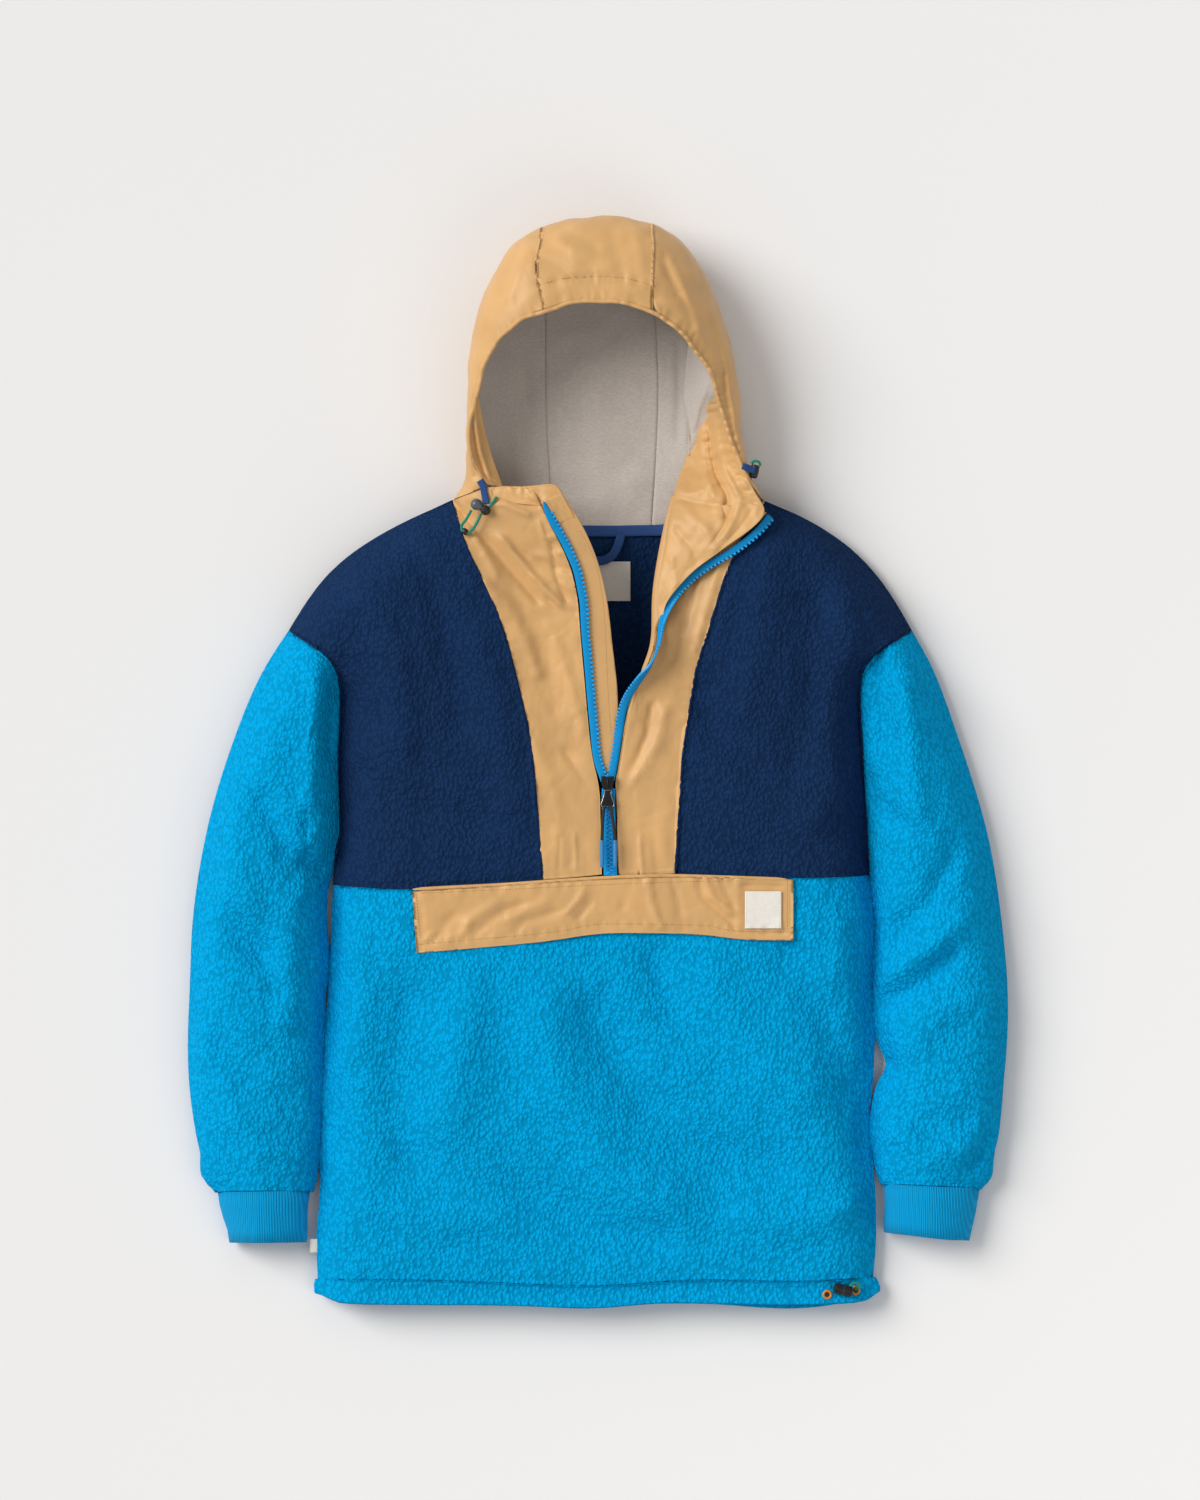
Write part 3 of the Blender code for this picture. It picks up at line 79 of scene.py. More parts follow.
MM = 0.001
BODY = "garment"
PULL = "zip_pull"
SHARP_EDGE = math.radians(65)
CREASED = math.radians(50)
SEAM_CLOSING = 0.55       # fine cloth grows this much at its edges, to meet its neighbours
EDGE_STEP = 2.5           # between the points kept along those edges
ABOVE_ALL = 200.0         # height from which the top surface is looked for
STEEPEST = 0.05           # no stitch where the surface leans more than this share of upright
STITCH_SINK = 0.25        # shares of a stitch's radius and pitch
STITCH_SHARE = 0.72


# ---------------------------------------------------------------- settings

def colour_property(name, description, default):
    return FloatVectorProperty(name=name, description=description, subtype="COLOR", size=3,
                               min=0, max=1, default=default)


def length_property(name, description, default):
    return FloatProperty(name=name, description=description, unit="LENGTH", subtype="DISTANCE",
                         min=0, default=default)


class GarmentSettings(bpy.types.PropertyGroup):
    """Colours and fine sizes of the garment."""

    blue: colour_property("Blue", "Body and sleeve fleece", (0.0, 0.345, 0.70))
    navy: colour_property("Navy", "Yoke fleece", (0.0085, 0.030, 0.094))
    tan: colour_property("Tan", "Nylon of the hood, plackets and flap", (0.64, 0.372, 0.148))
    heather: colour_property("Heather", "Hood lining", (0.53, 0.475, 0.43))
    royal: colour_property("Royal", "Neck tape and loops", (0.026, 0.078, 0.25))
    cream: colour_property("Cream", "Labels", (0.80, 0.765, 0.70))
    zip_blue: colour_property("Zip blue", "Teeth and zip tape", (0.0, 0.335, 0.77))
    tip_blue: colour_property("Tip blue", "Moulded ends of the pull cords", (0.03, 0.2, 0.47))
    black: colour_property("Black", "Slider, pull cords and locks", (0.012, 0.012, 0.014))
    green: colour_property("Green", "Elastic cord", (0.0, 0.25, 0.17))
    amber: colour_property("Amber", "Hem eyelets", (0.55, 0.2, 0.015))
    curl: length_property("Curl size", "Width of one curl of the fleece pile", 0.0034)
    curl_height: length_property("Curl height", "Relief of the fleece pile", 0.0013)
    tooth_pitch: length_property("Tooth pitch", "Distance between the zip's teeth", 0.0038)
    stitch: length_property("Stitch", "Length of one stitch", 0.0028)
    detail: IntProperty(name="Detail", description="Subdivision levels of the cloth", default=3, min=1, max=4)


class StudioSettings(bpy.types.PropertyGroup):
    """Camera and light."""

    camera_height: length_property("Camera height", "Camera above the floor", 25.0)
    field: length_property("Field", "Height of what the camera sees at the garment", 1.35)
    floor: colour_property("Floor", "Floor colour", (0.83, 0.83, 0.835))
    key: FloatProperty(name="Key", description="Strength of the soft light from the upper left", default=2.6,
                       min=0)
    key_spread: FloatProperty(name="Key spread", description="Angle across the soft light", subtype="ANGLE",
                              default=math.radians(36), min=0)
    key_height: FloatProperty(name="Key height", description="Angle of that light above the floor",
                              subtype="ANGLE", default=math.radians(38), min=0)
    fill: FloatProperty(name="Fill", description="Strength of the light from all round", default=0.46, min=0)
    low: FloatProperty(name="Low light", description="Power of the wide light at the lower right", default=11,
                       min=0, subtype="POWER", unit="POWER")


# ---------------------------------------------------------------- shader building

class Wire:
    """A value in a shader, a socket or a number, whose arithmetic adds Math nodes."""

    def __init__(self, shader, value):
        self.shader = shader
        self.value = value

    def __add__(self, other):
        return self.shader.maths("ADD", self, other)

    def __radd__(self, other):
        return self.shader.maths("ADD", other, self)

    def __sub__(self, other):
        return self.shader.maths("SUBTRACT", self, other)

    def __rsub__(self, other):
        return self.shader.maths("SUBTRACT", other, self)

    def __mul__(self, other):
        return self.shader.maths("MULTIPLY", self, other)

    def __rmul__(self, other):
        return self.shader.maths("MULTIPLY", other, self)

    def __abs__(self):
        return self.shader.maths("ABSOLUTE", self)

    def sine(self):
        return self.shader.maths("SINE", self)

    def smooth(self, low, high):
        """0 below low, 1 above high, eased between."""
        return self.shader.node("ShaderNodeMapRange", {"Value": self, "From Min": low, "From Max": high},
                                interpolation_type="SMOOTHSTEP")


class Shader:
    """A material under construction."""

    def __init__(self, name):
        self.material = bpy.data.materials.new(name)
        self.material.use_nodes = True
        self.tree = self.material.node_tree
        self.surface = self.tree.nodes["Principled BSDF"]
        self.spot = self.node("ShaderNodeTexCoord", output="Object")

    def node(self, kind, inputs=None, output=0, **settings):
        """Adds a node, sets or links its inputs, and returns one of its outputs."""
        node = self.tree.nodes.new(kind)
        for name, value in settings.items():
            setattr(node, name, value)
        for key, value in (inputs or {}).items():
            self.feed(node.inputs[key], value)
        return Wire(self, node.outputs[output])

    def feed(self, socket, value):
        if isinstance(value, Wire):
            self.tree.links.new(value.value, socket)
        else:
            socket.default_value = value

    def maths(self, operation, *values):
        return self.node("ShaderNodeMath", dict(enumerate(values)), operation=operation)

    def vector(self, operation, *values):
        return self.node("ShaderNodeVectorMath", dict(enumerate(values)), operation=operation)

    def axes(self):
        parts = self.node("ShaderNodeSeparateXYZ", {0: self.spot})
        return [Wire(self, parts.value.node.outputs[k]) for k in range(3)]

    def noise(self, scale, detail=2.0, stretch=(1, 1, 1), distortion=0.0, rough=0.5):
        place = self.vector("MULTIPLY", self.spot, stretch)
        return self.node("ShaderNodeTexNoise", {"Vector": place, "Scale": scale, "Detail": detail,
                                                "Roughness": rough, "Distortion": distortion})

    def mix(self, factor, first, second):
        """Colour between two colours."""
        node = self.node("ShaderNodeMix", data_type="RGBA", output=2).value.node
        for key, value in ((0, factor), (6, first), (7, second)):
            if not isinstance(value, Wire) and key:
                value = (*value[:3], 1)
            self.feed(node.inputs[key], value)
        return Wire(self, node.outputs[2])

    def bump(self, height, distance, strength, normal=None):
        inputs = {"Height": height, "Distance": distance, "Strength": strength}
        if normal is not None:
            inputs["Normal"] = normal
        return self.node("ShaderNodeBump", inputs)

    def finish(self, **values):
        """Sets the surface's inputs by name, with _ for a space."""
        for name, value in values.items():
            if isinstance(value, tuple) and len(value) == 3:
                value = (*value, 1)
            self.feed(self.surface.inputs[name.replace("_", " ").title().replace("Ior", "IOR")], value)
        return self.material


def shade(colour, factor):
    """The colour made lighter or darker."""
    return tuple(min(1.0, channel * factor) for channel in colour)


def fleece(name, colour, size, height, glow):
    """Curly pile: rounded curls, longer down the cloth, parted by thin winding furrows, with painted shade in
    the furrows and a painted highlight on the ends of the hairs.
    """
    s = Shader(name)
    bend = s.node("ShaderNodeTexNoise", {"Vector": s.spot, "Scale": 0.7 / size, "Detail": 1.0}, output=1)
    bent = s.vector("ADD", s.spot, s.vector("MULTIPLY", s.vector("SUBTRACT", bend, (0.5, 0.5, 0.5)),
                                            (size * 0.9, size * 0.9, size * 0.9)))
    grains = s.node("ShaderNodeTexVoronoi", {"Vector": s.vector("MULTIPLY", bent, (1.0, 0.74, 1.0)),
                                             "Scale": 1 / size, "Randomness": 1.0})
    crowns = 1.0 - grains.smooth(0.05, 0.85)
    clumps = s.noise(0.3 / size, detail=1.0)
    hairs = s.noise(2200, detail=2.0)
    patches = s.noise(22, detail=3.0)
    relief = s.bump(crowns + clumps * 0.8 + hairs * 0.06, height, 0.95)
    # Painted shade: the colour darkens in the furrows between the curls and is lightest on their crowns
    tint = s.mix(crowns.smooth(0.0, 0.6), shade(colour, 0.74), shade(colour, 1.04))
    # Painted highlight: the ends of the hairs take on the lighter glow colour
    tint = s.mix(hairs.smooth(0.5, 0.8) * 0.15, tint, glow)
    tint = s.mix(patches.smooth(0.45, 0.75) * 0.1, tint, shade(colour, 0.75))
    return s.finish(base_color=tint, roughness=0.95, normal=relief, specular_ior_level=0.04,
                    sheen_weight=0.05, sheen_roughness=0.6, sheen_tint=glow)


def nylon(name, colour):
    """Crisp plain-woven nylon with a satin sheen and small crumples."""
    s = Shader(name)
    x, y, _ = s.axes()
    weave = (x * 5200).sine() * (y * 5200).sine()
    crumple = abs(s.noise(24, detail=1.5, distortion=0.5) - 0.5)
    small = abs(s.noise(70, detail=1.0, distortion=0.5) - 0.5)
    cloudy = s.noise(22, detail=2.0)
    relief = s.bump(crumple * 1.3 + small * 0.3, 0.0032, 0.55)
    relief = s.bump(weave, 0.00006, 0.3, normal=relief)
    tint = s.mix(cloudy.smooth(0.3, 0.7), shade(colour, 0.94), shade(colour, 1.05))
    return s.finish(base_color=tint, roughness=0.46, normal=relief, specular_ior_level=0.36,
                    sheen_weight=0.05, sheen_roughness=0.4)


def jersey(name, colour):
    """Marled knit: short light and dark flecks along the courses."""
    s = Shader(name)
    flecks = s.noise(900, detail=2.0, stretch=(0.3, 1, 1), rough=0.6)
    broad = s.noise(34, detail=3.0, stretch=(0.6, 1, 1))
    courses = s.noise(1500, detail=1.0, stretch=(1, 0.3, 1))
    tint = s.mix(flecks.smooth(0.3, 0.72), shade(colour, 0.9), shade(colour, 1.08))
    tint = s.mix(broad.smooth(0.4, 0.75) * 0.25, tint, shade(colour, 0.9))
    return s.finish(base_color=tint, roughness=0.92, normal=s.bump(courses, 0.0002, 0.3),
                    specular_ior_level=0.1, sheen_weight=0.05)


def rib_knit(name, colour):
    """Fine ribs down the cuff."""
    s = Shader(name)
    x, y, z = s.axes()
    waver = s.noise(60, detail=1.0)
    ribs = ((x + z * 0.5) * (2 * math.pi / 0.0021) + waver * 3.0).sine()
    loops = s.noise(900, detail=2.0, stretch=(1, 0.5, 1))
    # Painted shade: the colour darkens in the furrows between the ribs, and varies at random with the loops
    tint = s.mix(ribs * 0.35 + loops * 0.3 + 0.35, shade(colour, 0.72), shade(colour, 1.06))
    return s.finish(base_color=tint, roughness=0.9, normal=s.bump(ribs * 0.5 + loops * 0.3, 0.0006, 0.8),
                    specular_ior_level=0.1, sheen_weight=0.05)


def tape_weave(name, colour, pitch=0.0008):
    """Twill or plain tape with a fine diagonal."""
    s = Shader(name)
    x, y, z = s.axes()
    twill = ((x + y + z) * (2 * math.pi / pitch)).sine()
    uneven = s.noise(260, detail=2.0)
    tint = s.mix(twill * 0.25 + uneven * 0.6, shade(colour, 0.82), shade(colour, 1.14))
    return s.finish(base_color=tint, roughness=0.72, normal=s.bump(twill, 0.0001, 0.5),
                    specular_ior_level=0.25)


def label_weave(name, colour):
    """Cream satin label."""
    s = Shader(name)
    x, y, _ = s.axes()
    threads = (x * 9000).sine() * (y * 9000).sine()
    uneven = s.noise(300, detail=3.0)
    return s.finish(base_color=s.mix(uneven, shade(colour, 0.9), shade(colour, 1.06)), roughness=0.7,
                    normal=s.bump(threads, 0.00005, 0.5), specular_ior_level=0.25)


def plastic(name, colour, roughness, metallic=0.0):
    """Moulded plastic or painted metal with faint unevenness."""
    s = Shader(name)
    uneven = s.noise(420, detail=3.0)
    tint = s.mix(uneven, shade(colour, 0.88), shade(colour, 1.12))
    return s.finish(base_color=tint, roughness=roughness + (uneven - 0.5) * 0.12, metallic=metallic,
                    normal=s.bump(uneven, 0.00008, 0.4))


def braid(name, colour, pitch):
    """Round braided cord: two crossing sets of strands."""
    s = Shader(name)
    x, y, z = s.axes()
    turns = 2 * math.pi / pitch
    weave = ((x + y) * turns).sine() * ((y - x + z) * turns).sine()
    tint = s.mix(weave * 0.5 + 0.5, shade(colour, 0.55), shade(colour, 1.5))
    return s.finish(base_color=tint, roughness=0.6, normal=s.bump(weave, 0.00015, 0.7))


def floor_finish(name, colour):
    """Pale seamless floor, very slightly cloudy."""
    s = Shader(name)
    cloudy = s.noise(1.2, detail=1.0)
    tint = s.mix(cloudy, shade(colour, 0.99), shade(colour, 1.01))
    return s.finish(base_color=tint, roughness=0.9, specular_ior_level=0.1)


# Light that the ends of the pile catch
BLUE_GLOW = (0.0, 0.45, 0.8)
NAVY_GLOW = (0.034, 0.078, 0.19)
# Steel of the thin rim round the pull's black frame: a painted highlight along its edge
STEEL = (0.5, 0.5, 0.52)
# Painted shade of the hood's seam grooves, the colour of the rolls that fill them
SEAM_SHADOW = (0.42, 0.22, 0.08)
GREY_PLASTIC = (0.09, 0.1, 0.12)

# Each finish: the record's slot, and what makes its material from the garment's settings
FINISHES = {
    "blue": ("blue_fleece", lambda g: fleece("blue_fleece", g.blue, g.curl, g.curl_height, BLUE_GLOW)),
    "navy": ("navy_fleece", lambda g: fleece("navy_fleece", g.navy, g.curl, g.curl_height, NAVY_GLOW)),
    "tan": ("tan_nylon", lambda g: nylon("tan_nylon", g.tan)),
    "heather": ("heather_jersey", lambda g: jersey("heather_jersey", g.heather)),
    "rib": ("blue_rib", lambda g: rib_knit("blue_rib", shade(g.blue, 0.97))),
    "royal": ("royal_tape", lambda g: tape_weave("royal_tape", g.royal)),
    "cream": ("cream_weave", lambda g: label_weave("cream_weave", g.cream)),
    "teeth": ("zip_teeth", lambda g: plastic("zip_teeth", g.zip_blue, 0.3)),
    "zip_tape": ("zip_teeth", lambda g: tape_weave("zip_tape", shade(g.zip_blue, 0.92), 0.0006)),
    "tip": ("pull_plastic", lambda g: plastic("tip_plastic", g.tip_blue, 0.45)),
    "metal": ("zip_metal", lambda g: plastic("black_metal", g.black, 0.28, metallic=0.4)),
    # Bright steel rim of the pull: painted highlight along its black edge
    "steel": ("zip_metal", lambda g: plastic("edge_highlight", STEEL, 0.3, metallic=1.0)),
    "black": ("black_plastic", lambda g: plastic("black_plastic", g.black, 0.4)),
    "grey": ("black_plastic", lambda g: plastic("grey_plastic", GREY_PLASTIC, 0.3)),
    "black_cord": ("black_cord", lambda g: braid("black_cord", g.black, 0.0011)),
    "green": ("green_cord", lambda g: braid("green_cord", g.green, 0.0010)),
    "amber": ("amber_eyelet", lambda g: plastic("amber_eyelet", g.amber, 0.3)),
    "tan_thread": ("tan_nylon", lambda g: plastic("tan_thread", shade(g.tan, 0.6), 0.7)),
    # Dark brown rolls in the hood's seams: painted shade in their grooves
    "painted_seam_shade": ("tan_nylon", lambda g: plastic("painted_seam_shade", SEAM_SHADOW, 0.7)),
    "cream_thread": ("cream_weave", lambda g: plastic("cream_thread", shade(g.cream, 0.85), 0.6)),
}
MADE = {}        # materials made so far, by finish
EDGES = {}       # points along the sewn edges of each fine cloth, by node


def finish_named(key):
    """The material of that finish, made once."""
    if key not in MADE:
        MADE[key] = FINISHES[key][1](bpy.context.scene.garment)
    return MADE[key]


# ---------------------------------------------------------------- geometry helpers

def ease(value, low, high):
    """0 below low, 1 above high, eased between."""
    t = np.clip((value - low) / (high - low), 0, 1)
    return t * t * (3 - 2 * t)


def length_of(points):
    return float(np.linalg.norm(np.diff(np.asarray(points, float), axis=0), axis=1).sum())


def unit(vectors):
    """The same directions at length 1: one vector or a list of them."""
    vectors = np.asarray(vectors, float)
    return vectors / np.linalg.norm(vectors, axis=-1, keepdims=True)


def headings(line):
    """Direction of travel at each point of a line."""
    return unit(np.gradient(line, axis=0))


def evened(levels, reach):
    """Running mean over so many neighbours on each side."""
    count = 2 * reach + 1
    return np.convolve(np.pad(levels, reach, mode="edge"), np.ones(count) / count, mode="valid")


def run_through(points, step):
    """Points at an even step along a smooth line through the given ones."""
    points = np.asarray(points, float)
    ends = np.vstack([2 * points[0] - points[1], points, 2 * points[-1] - points[-2]])
    fine = []
    for a, b, c, d in zip(ends, ends[1:], ends[2:], ends[3:]):
        t = np.linspace(0, 1, 24, endpoint=False)[:, None]
        fine.append(0.5 * (2 * b + (c - a) * t + (2 * a - 5 * b + 4 * c - d) * t ** 2
                           + (3 * b - a - 3 * c + d) * t ** 3))
    fine = np.vstack([*fine, points[-1:]])
    far = np.concatenate([[0], np.cumsum(np.linalg.norm(np.diff(fine, axis=0), axis=1))])
    count = max(2, int(round(far[-1] / step)) + 1)
    places = np.linspace(0, far[-1], count)
    return np.column_stack([np.interp(places, far, fine[:, k]) for k in range(fine.shape[1])])


def nearest_on(line, spots):
    """Distance from each spot to a line, the place along it, and the side (positive on its left)."""
    line = np.asarray(line, float)
    best = np.full(len(spots), 1e9)
    place, side = np.zeros(len(spots)), np.zeros(len(spots))
    start = 0.0
    for a, b in zip(line, line[1:]):
        step = b - a
        size = float(np.hypot(*step)) or 1e-9
        t = np.clip(((spots - a) @ step) / size ** 2, 0, 1)
        off = spots - (a + t[:, None] * step)
        far = np.hypot(off[:, 0], off[:, 1])
        nearer = far < best
        best[nearer] = far[nearer]
        place[nearer] = start + t[nearer] * size
        side[nearer] = np.sign(step[0] * off[nearer, 1] - step[1] * off[nearer, 0])
        start += size
    return best, place, side


def creases(rows, spots):
    """Height of soft troughs and ridges at each spot: line, half width, height."""
    height = np.zeros(len(spots))
    for line, width, rise in rows:
        far, _, _ = nearest_on(line, spots)
        height += rise * np.exp(-(far / width) ** 2)
    return height


def puckers(rows, spots):
    """Height of small gathers across a line at each spot: line, spacing, reach, height."""
    height = np.zeros(len(spots))
    for line, spacing, reach, rise in rows:
        far, place, _ = nearest_on(line, spots)
        wander = np.array([noise.noise(Vector((p / 19.0, f / 30.0, 3.1))) for p, f in zip(place, far)])
        wave = np.sin(2 * math.pi * (place / spacing + wander * 1.3))
        taper = np.exp(-(far / (reach * (0.75 + 0.5 * wander))) ** 2)
        height += rise * wave * taper
    return height


def swell(spots, size, rise, seed):
    """Uneven low relief."""
    return np.array([noise.fractal(Vector((x / size, y / size, seed)), 1.0, 2.0, 2) for x, y in spots]) * rise


def coordinates(mesh):
    values = np.empty(len(mesh.vertices) * 3)
    mesh.vertices.foreach_get("co", values)
    return values.reshape(-1, 3) / MM


def set_coordinates(mesh, places):
    mesh.vertices.foreach_set("co", (places * MM).ravel())
    mesh.update()


def normals_of(mesh):
    values = np.empty(len(mesh.vertices) * 3)
    mesh.vertex_normals.foreach_get("vector", values)
    return values.reshape(-1, 3)


def linked(name, data):
    piece = bpy.data.objects.new(name, data)
    bpy.context.scene.collection.objects.link(piece)
    return piece


def baked(piece):
    """The piece with its modifiers applied."""
    graph = bpy.context.evaluated_depsgraph_get()
    mesh = bpy.data.meshes.new_from_object(piece.evaluated_get(graph))
    piece.modifiers.clear()
    piece.data = mesh
    mesh.shade_smooth()
    return piece


def finer(name, level):
    """A finer copy of a plain node, its edges kept, and points along those edges."""
    mesh = bmesh.new()
    mesh.from_mesh(frame["nodes"][name].data)
    bmesh.ops.remove_doubles(mesh, verts=mesh.verts, dist=2e-6)
    bmesh.ops.join_triangles(mesh, faces=mesh.faces, angle_face_threshold=CREASED,
                             angle_shape_threshold=math.radians(170))
    sharp = mesh.edges.layers.float.new("crease_edge")
    bent = {edge for edge in mesh.edges if edge.calc_face_angle(0) > SHARP_EDGE}
    pushes = {}
    for face in mesh.faces:
        if sum(edge in bent for edge in face.edges) >= 2:
            for vert in face.verts:
                pushes.setdefault(vert, []).append(face.normal.copy())
    for vert, normals in pushes.items():
        vert.co += sum(normals, Vector()).normalized() * SEAM_CLOSING * MM
    edges = []
    for edge in mesh.edges:
        if edge in bent:
            edge[sharp] = 1.0
            a, b = (np.array(v.co) / MM for v in edge.verts)
            steps = max(1, int(np.linalg.norm(b - a) / EDGE_STEP))
            edges += [a + (b - a) * k / steps for k in range(steps)]
    data = bpy.data.meshes.new("fine_" + name)
    mesh.to_mesh(data)
    mesh.free()
    piece = linked("fine_" + name, data)
    smooth = piece.modifiers.new("Smooth", "SUBSURF")
    smooth.levels = smooth.render_levels = level
    baked(piece)
    piece.data.set_sharp_from_angle(angle=CREASED)
    return piece, edges


def near_tree(spots):
    """Search tree over points."""
    tree = KDTree(len(spots))
    for k, spot in enumerate(spots):
        tree.insert(spot, k)
    tree.balance()
    return tree


def from_edges(edges, places):
    """Distance of each place from the nearest sewn edge."""
    tree = near_tree(edges)
    return np.array([tree.find(spot)[2] for spot in places])


def dressed(piece, finish, nodes=(), body=BODY):
    """Gives a piece its material, hides the nodes it stands for, and attaches it to its body."""
    piece.data.materials.clear()
    piece.data.materials.append(finish_named(finish))
    if nodes:
        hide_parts(*nodes)
    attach(piece, body)
    return piece


def grid_mesh(name, grid, closed=False):
    """Mesh of quads over a grid of places."""
    rows, cols = grid.shape[:2]
    faces = [(i * cols + j, i * cols + j + 1, (i + 1) * cols + j + 1, (i + 1) * cols + j)
             for i in range(rows - 1) for j in range(cols - 1)]
    if closed:
        faces += [(i * cols + cols - 1, i * cols, (i + 1) * cols, (i + 1) * cols + cols - 1)
                  for i in range(rows - 1)]
    mesh = bpy.data.meshes.new(name)
    mesh.from_pydata((grid.reshape(-1, 3) * MM).tolist(), [], faces)
    mesh.update()
    mesh.shade_smooth()
    return mesh


def reworked(mesh, change):
    """The mesh after a change made to it in bmesh, with its normals put right."""
    build = bmesh.new()
    build.from_mesh(mesh)
    change(build)
    bmesh.ops.recalc_face_normals(build, faces=build.faces)
    build.to_mesh(mesh)
    build.free()
    return mesh


def capped(name, grid):
    """Tube over a grid of rings, with a face at each end."""
    sides = grid.shape[1]

    def close(build):
        build.verts.ensure_lookup_table()
        verts = list(build.verts)
        build.faces.new(verts[:sides])
        build.faces.new(verts[-sides:][::-1])

    return reworked(grid_mesh(name, grid, closed=True), close)


def tree_of(*pieces):
    """Search tree over the surfaces of pieces."""
    graph = bpy.context.evaluated_depsgraph_get()
    spots, faces = [], []
    for piece in pieces:
        mesh = piece.evaluated_get(graph).to_mesh()
        base = len(spots)
        spots += [piece.matrix_world @ v.co for v in mesh.vertices]
        faces += [[base + k for k in p.vertices] for p in mesh.polygons]
    return BVHTree.FromPolygons(spots, faces)


def top_at(tree, x, y):
    """Height and normal of the uppermost surface at a place, or None."""
    spot, up, _, _ = tree.ray_cast(Vector((x, y, ABOVE_ALL)) * MM, Vector((0, 0, -1)))
    return (spot.z / MM, np.array(up)) if spot else None


def copies(name, shape, frames):
    """One mesh of many copies of a small shape: frames are (origin, x axis, y axis, z axis)."""
    spots, faces = shape
    all_spots, all_faces = [], []
    for origin, *axes in frames:
        base = len(all_spots) * len(spots)
        all_spots.append(origin + spots @ np.array(axes))
        all_faces += [[base + k for k in face] for face in faces]
    mesh = bpy.data.meshes.new(name)
    mesh.from_pydata((np.vstack(all_spots) * MM).tolist(), [], all_faces)
    mesh.update()
    mesh.shade_smooth()
    return mesh


def rounded_box(size, bevel):
    """Corner places and faces of a box with rounded edges."""
    mesh = bmesh.new()
    bmesh.ops.create_cube(mesh, size=1)
    bmesh.ops.scale(mesh, vec=size, verts=mesh.verts)
    bmesh.ops.bevel(mesh, geom=mesh.edges, offset=bevel, segments=2, affect="EDGES", profile=0.5)
    mesh.verts.index_update()
    shape = np.array([v.co for v in mesh.verts]), [[v.index for v in f.verts] for f in mesh.faces]
    mesh.free()
    return shape


def stitch_shape(length, radius, sides=6):
    """One stitch along x, its ends rounded: distances and widths are shares of length and radius."""
    stations = ((-0.5, 0.35), (-0.32, 0.9), (0.32, 0.9), (0.5, 0.35))
    spots, faces = [], []
    for far, wide in stations:
        for k in range(sides):
            turn = 2 * math.pi * k / sides
            spots.append((far * length, math.cos(turn) * wide * radius, math.sin(turn) * wide * radius))
    for first in range(0, (len(stations) - 1) * sides, sides):
        for k in range(sides):
            a, b = first + k, first + (k + 1) % sides
            faces.append([a, a + sides, b + sides, b])
    faces.append(list(range(sides)))
    faces.append(list(range(len(spots) - sides, len(spots)))[::-1])
    return np.array(spots), faces


def frames_on(tree, line, sink):
    """Frames lying on the top surface, x along the line."""
    frames = []
    for a, b in zip(line, line[1:]):
        x, y = (a[:2] + b[:2]) / 2
        hit = top_at(tree, x, y)
        if hit is None or hit[1][2] < STEEPEST:
            continue
        height, up = hit
        ahead = np.array([*(b[:2] - a[:2]), 0.0])
        ahead = unit(ahead - up * (ahead @ up))
        frames.append((np.array([x, y, height]) - up * sink, ahead, np.cross(up, ahead), up))
    return frames


def sew(name, lines, piece, finish, radius=0.28):
    """Stitches along lines, on the top of a piece."""
    tree = tree_of(piece)
    pitch = bpy.context.scene.garment.stitch / MM
    frames = []
    for line in lines:
        frames += frames_on(tree, run_through(line, pitch), radius * STITCH_SINK)
    return dressed(linked(name, copies(name, stitch_shape(pitch * STITCH_SHARE, radius), frames)), finish)


def tube(name, points, diameter, finish, nodes=(), body=BODY, step=1.2, caps=True):
    """Round cord along points, as a curve."""
    line = run_through(points, step)
    curve = bpy.data.curves.new(name, "CURVE")
    curve.dimensions = "3D"
    curve.bevel_depth = diameter / 2 * MM
    curve.bevel_resolution = 3
    curve.use_fill_caps = caps
    spline = curve.splines.new("POLY")
    spline.points.add(len(line) - 1)
    for knot, spot in zip(spline.points, line):
        knot.co = (*(spot * MM), 1)
    return dressed(linked(name, curve), finish, nodes, body), line


# ---------------------------------------------------------------- tables, millimetres

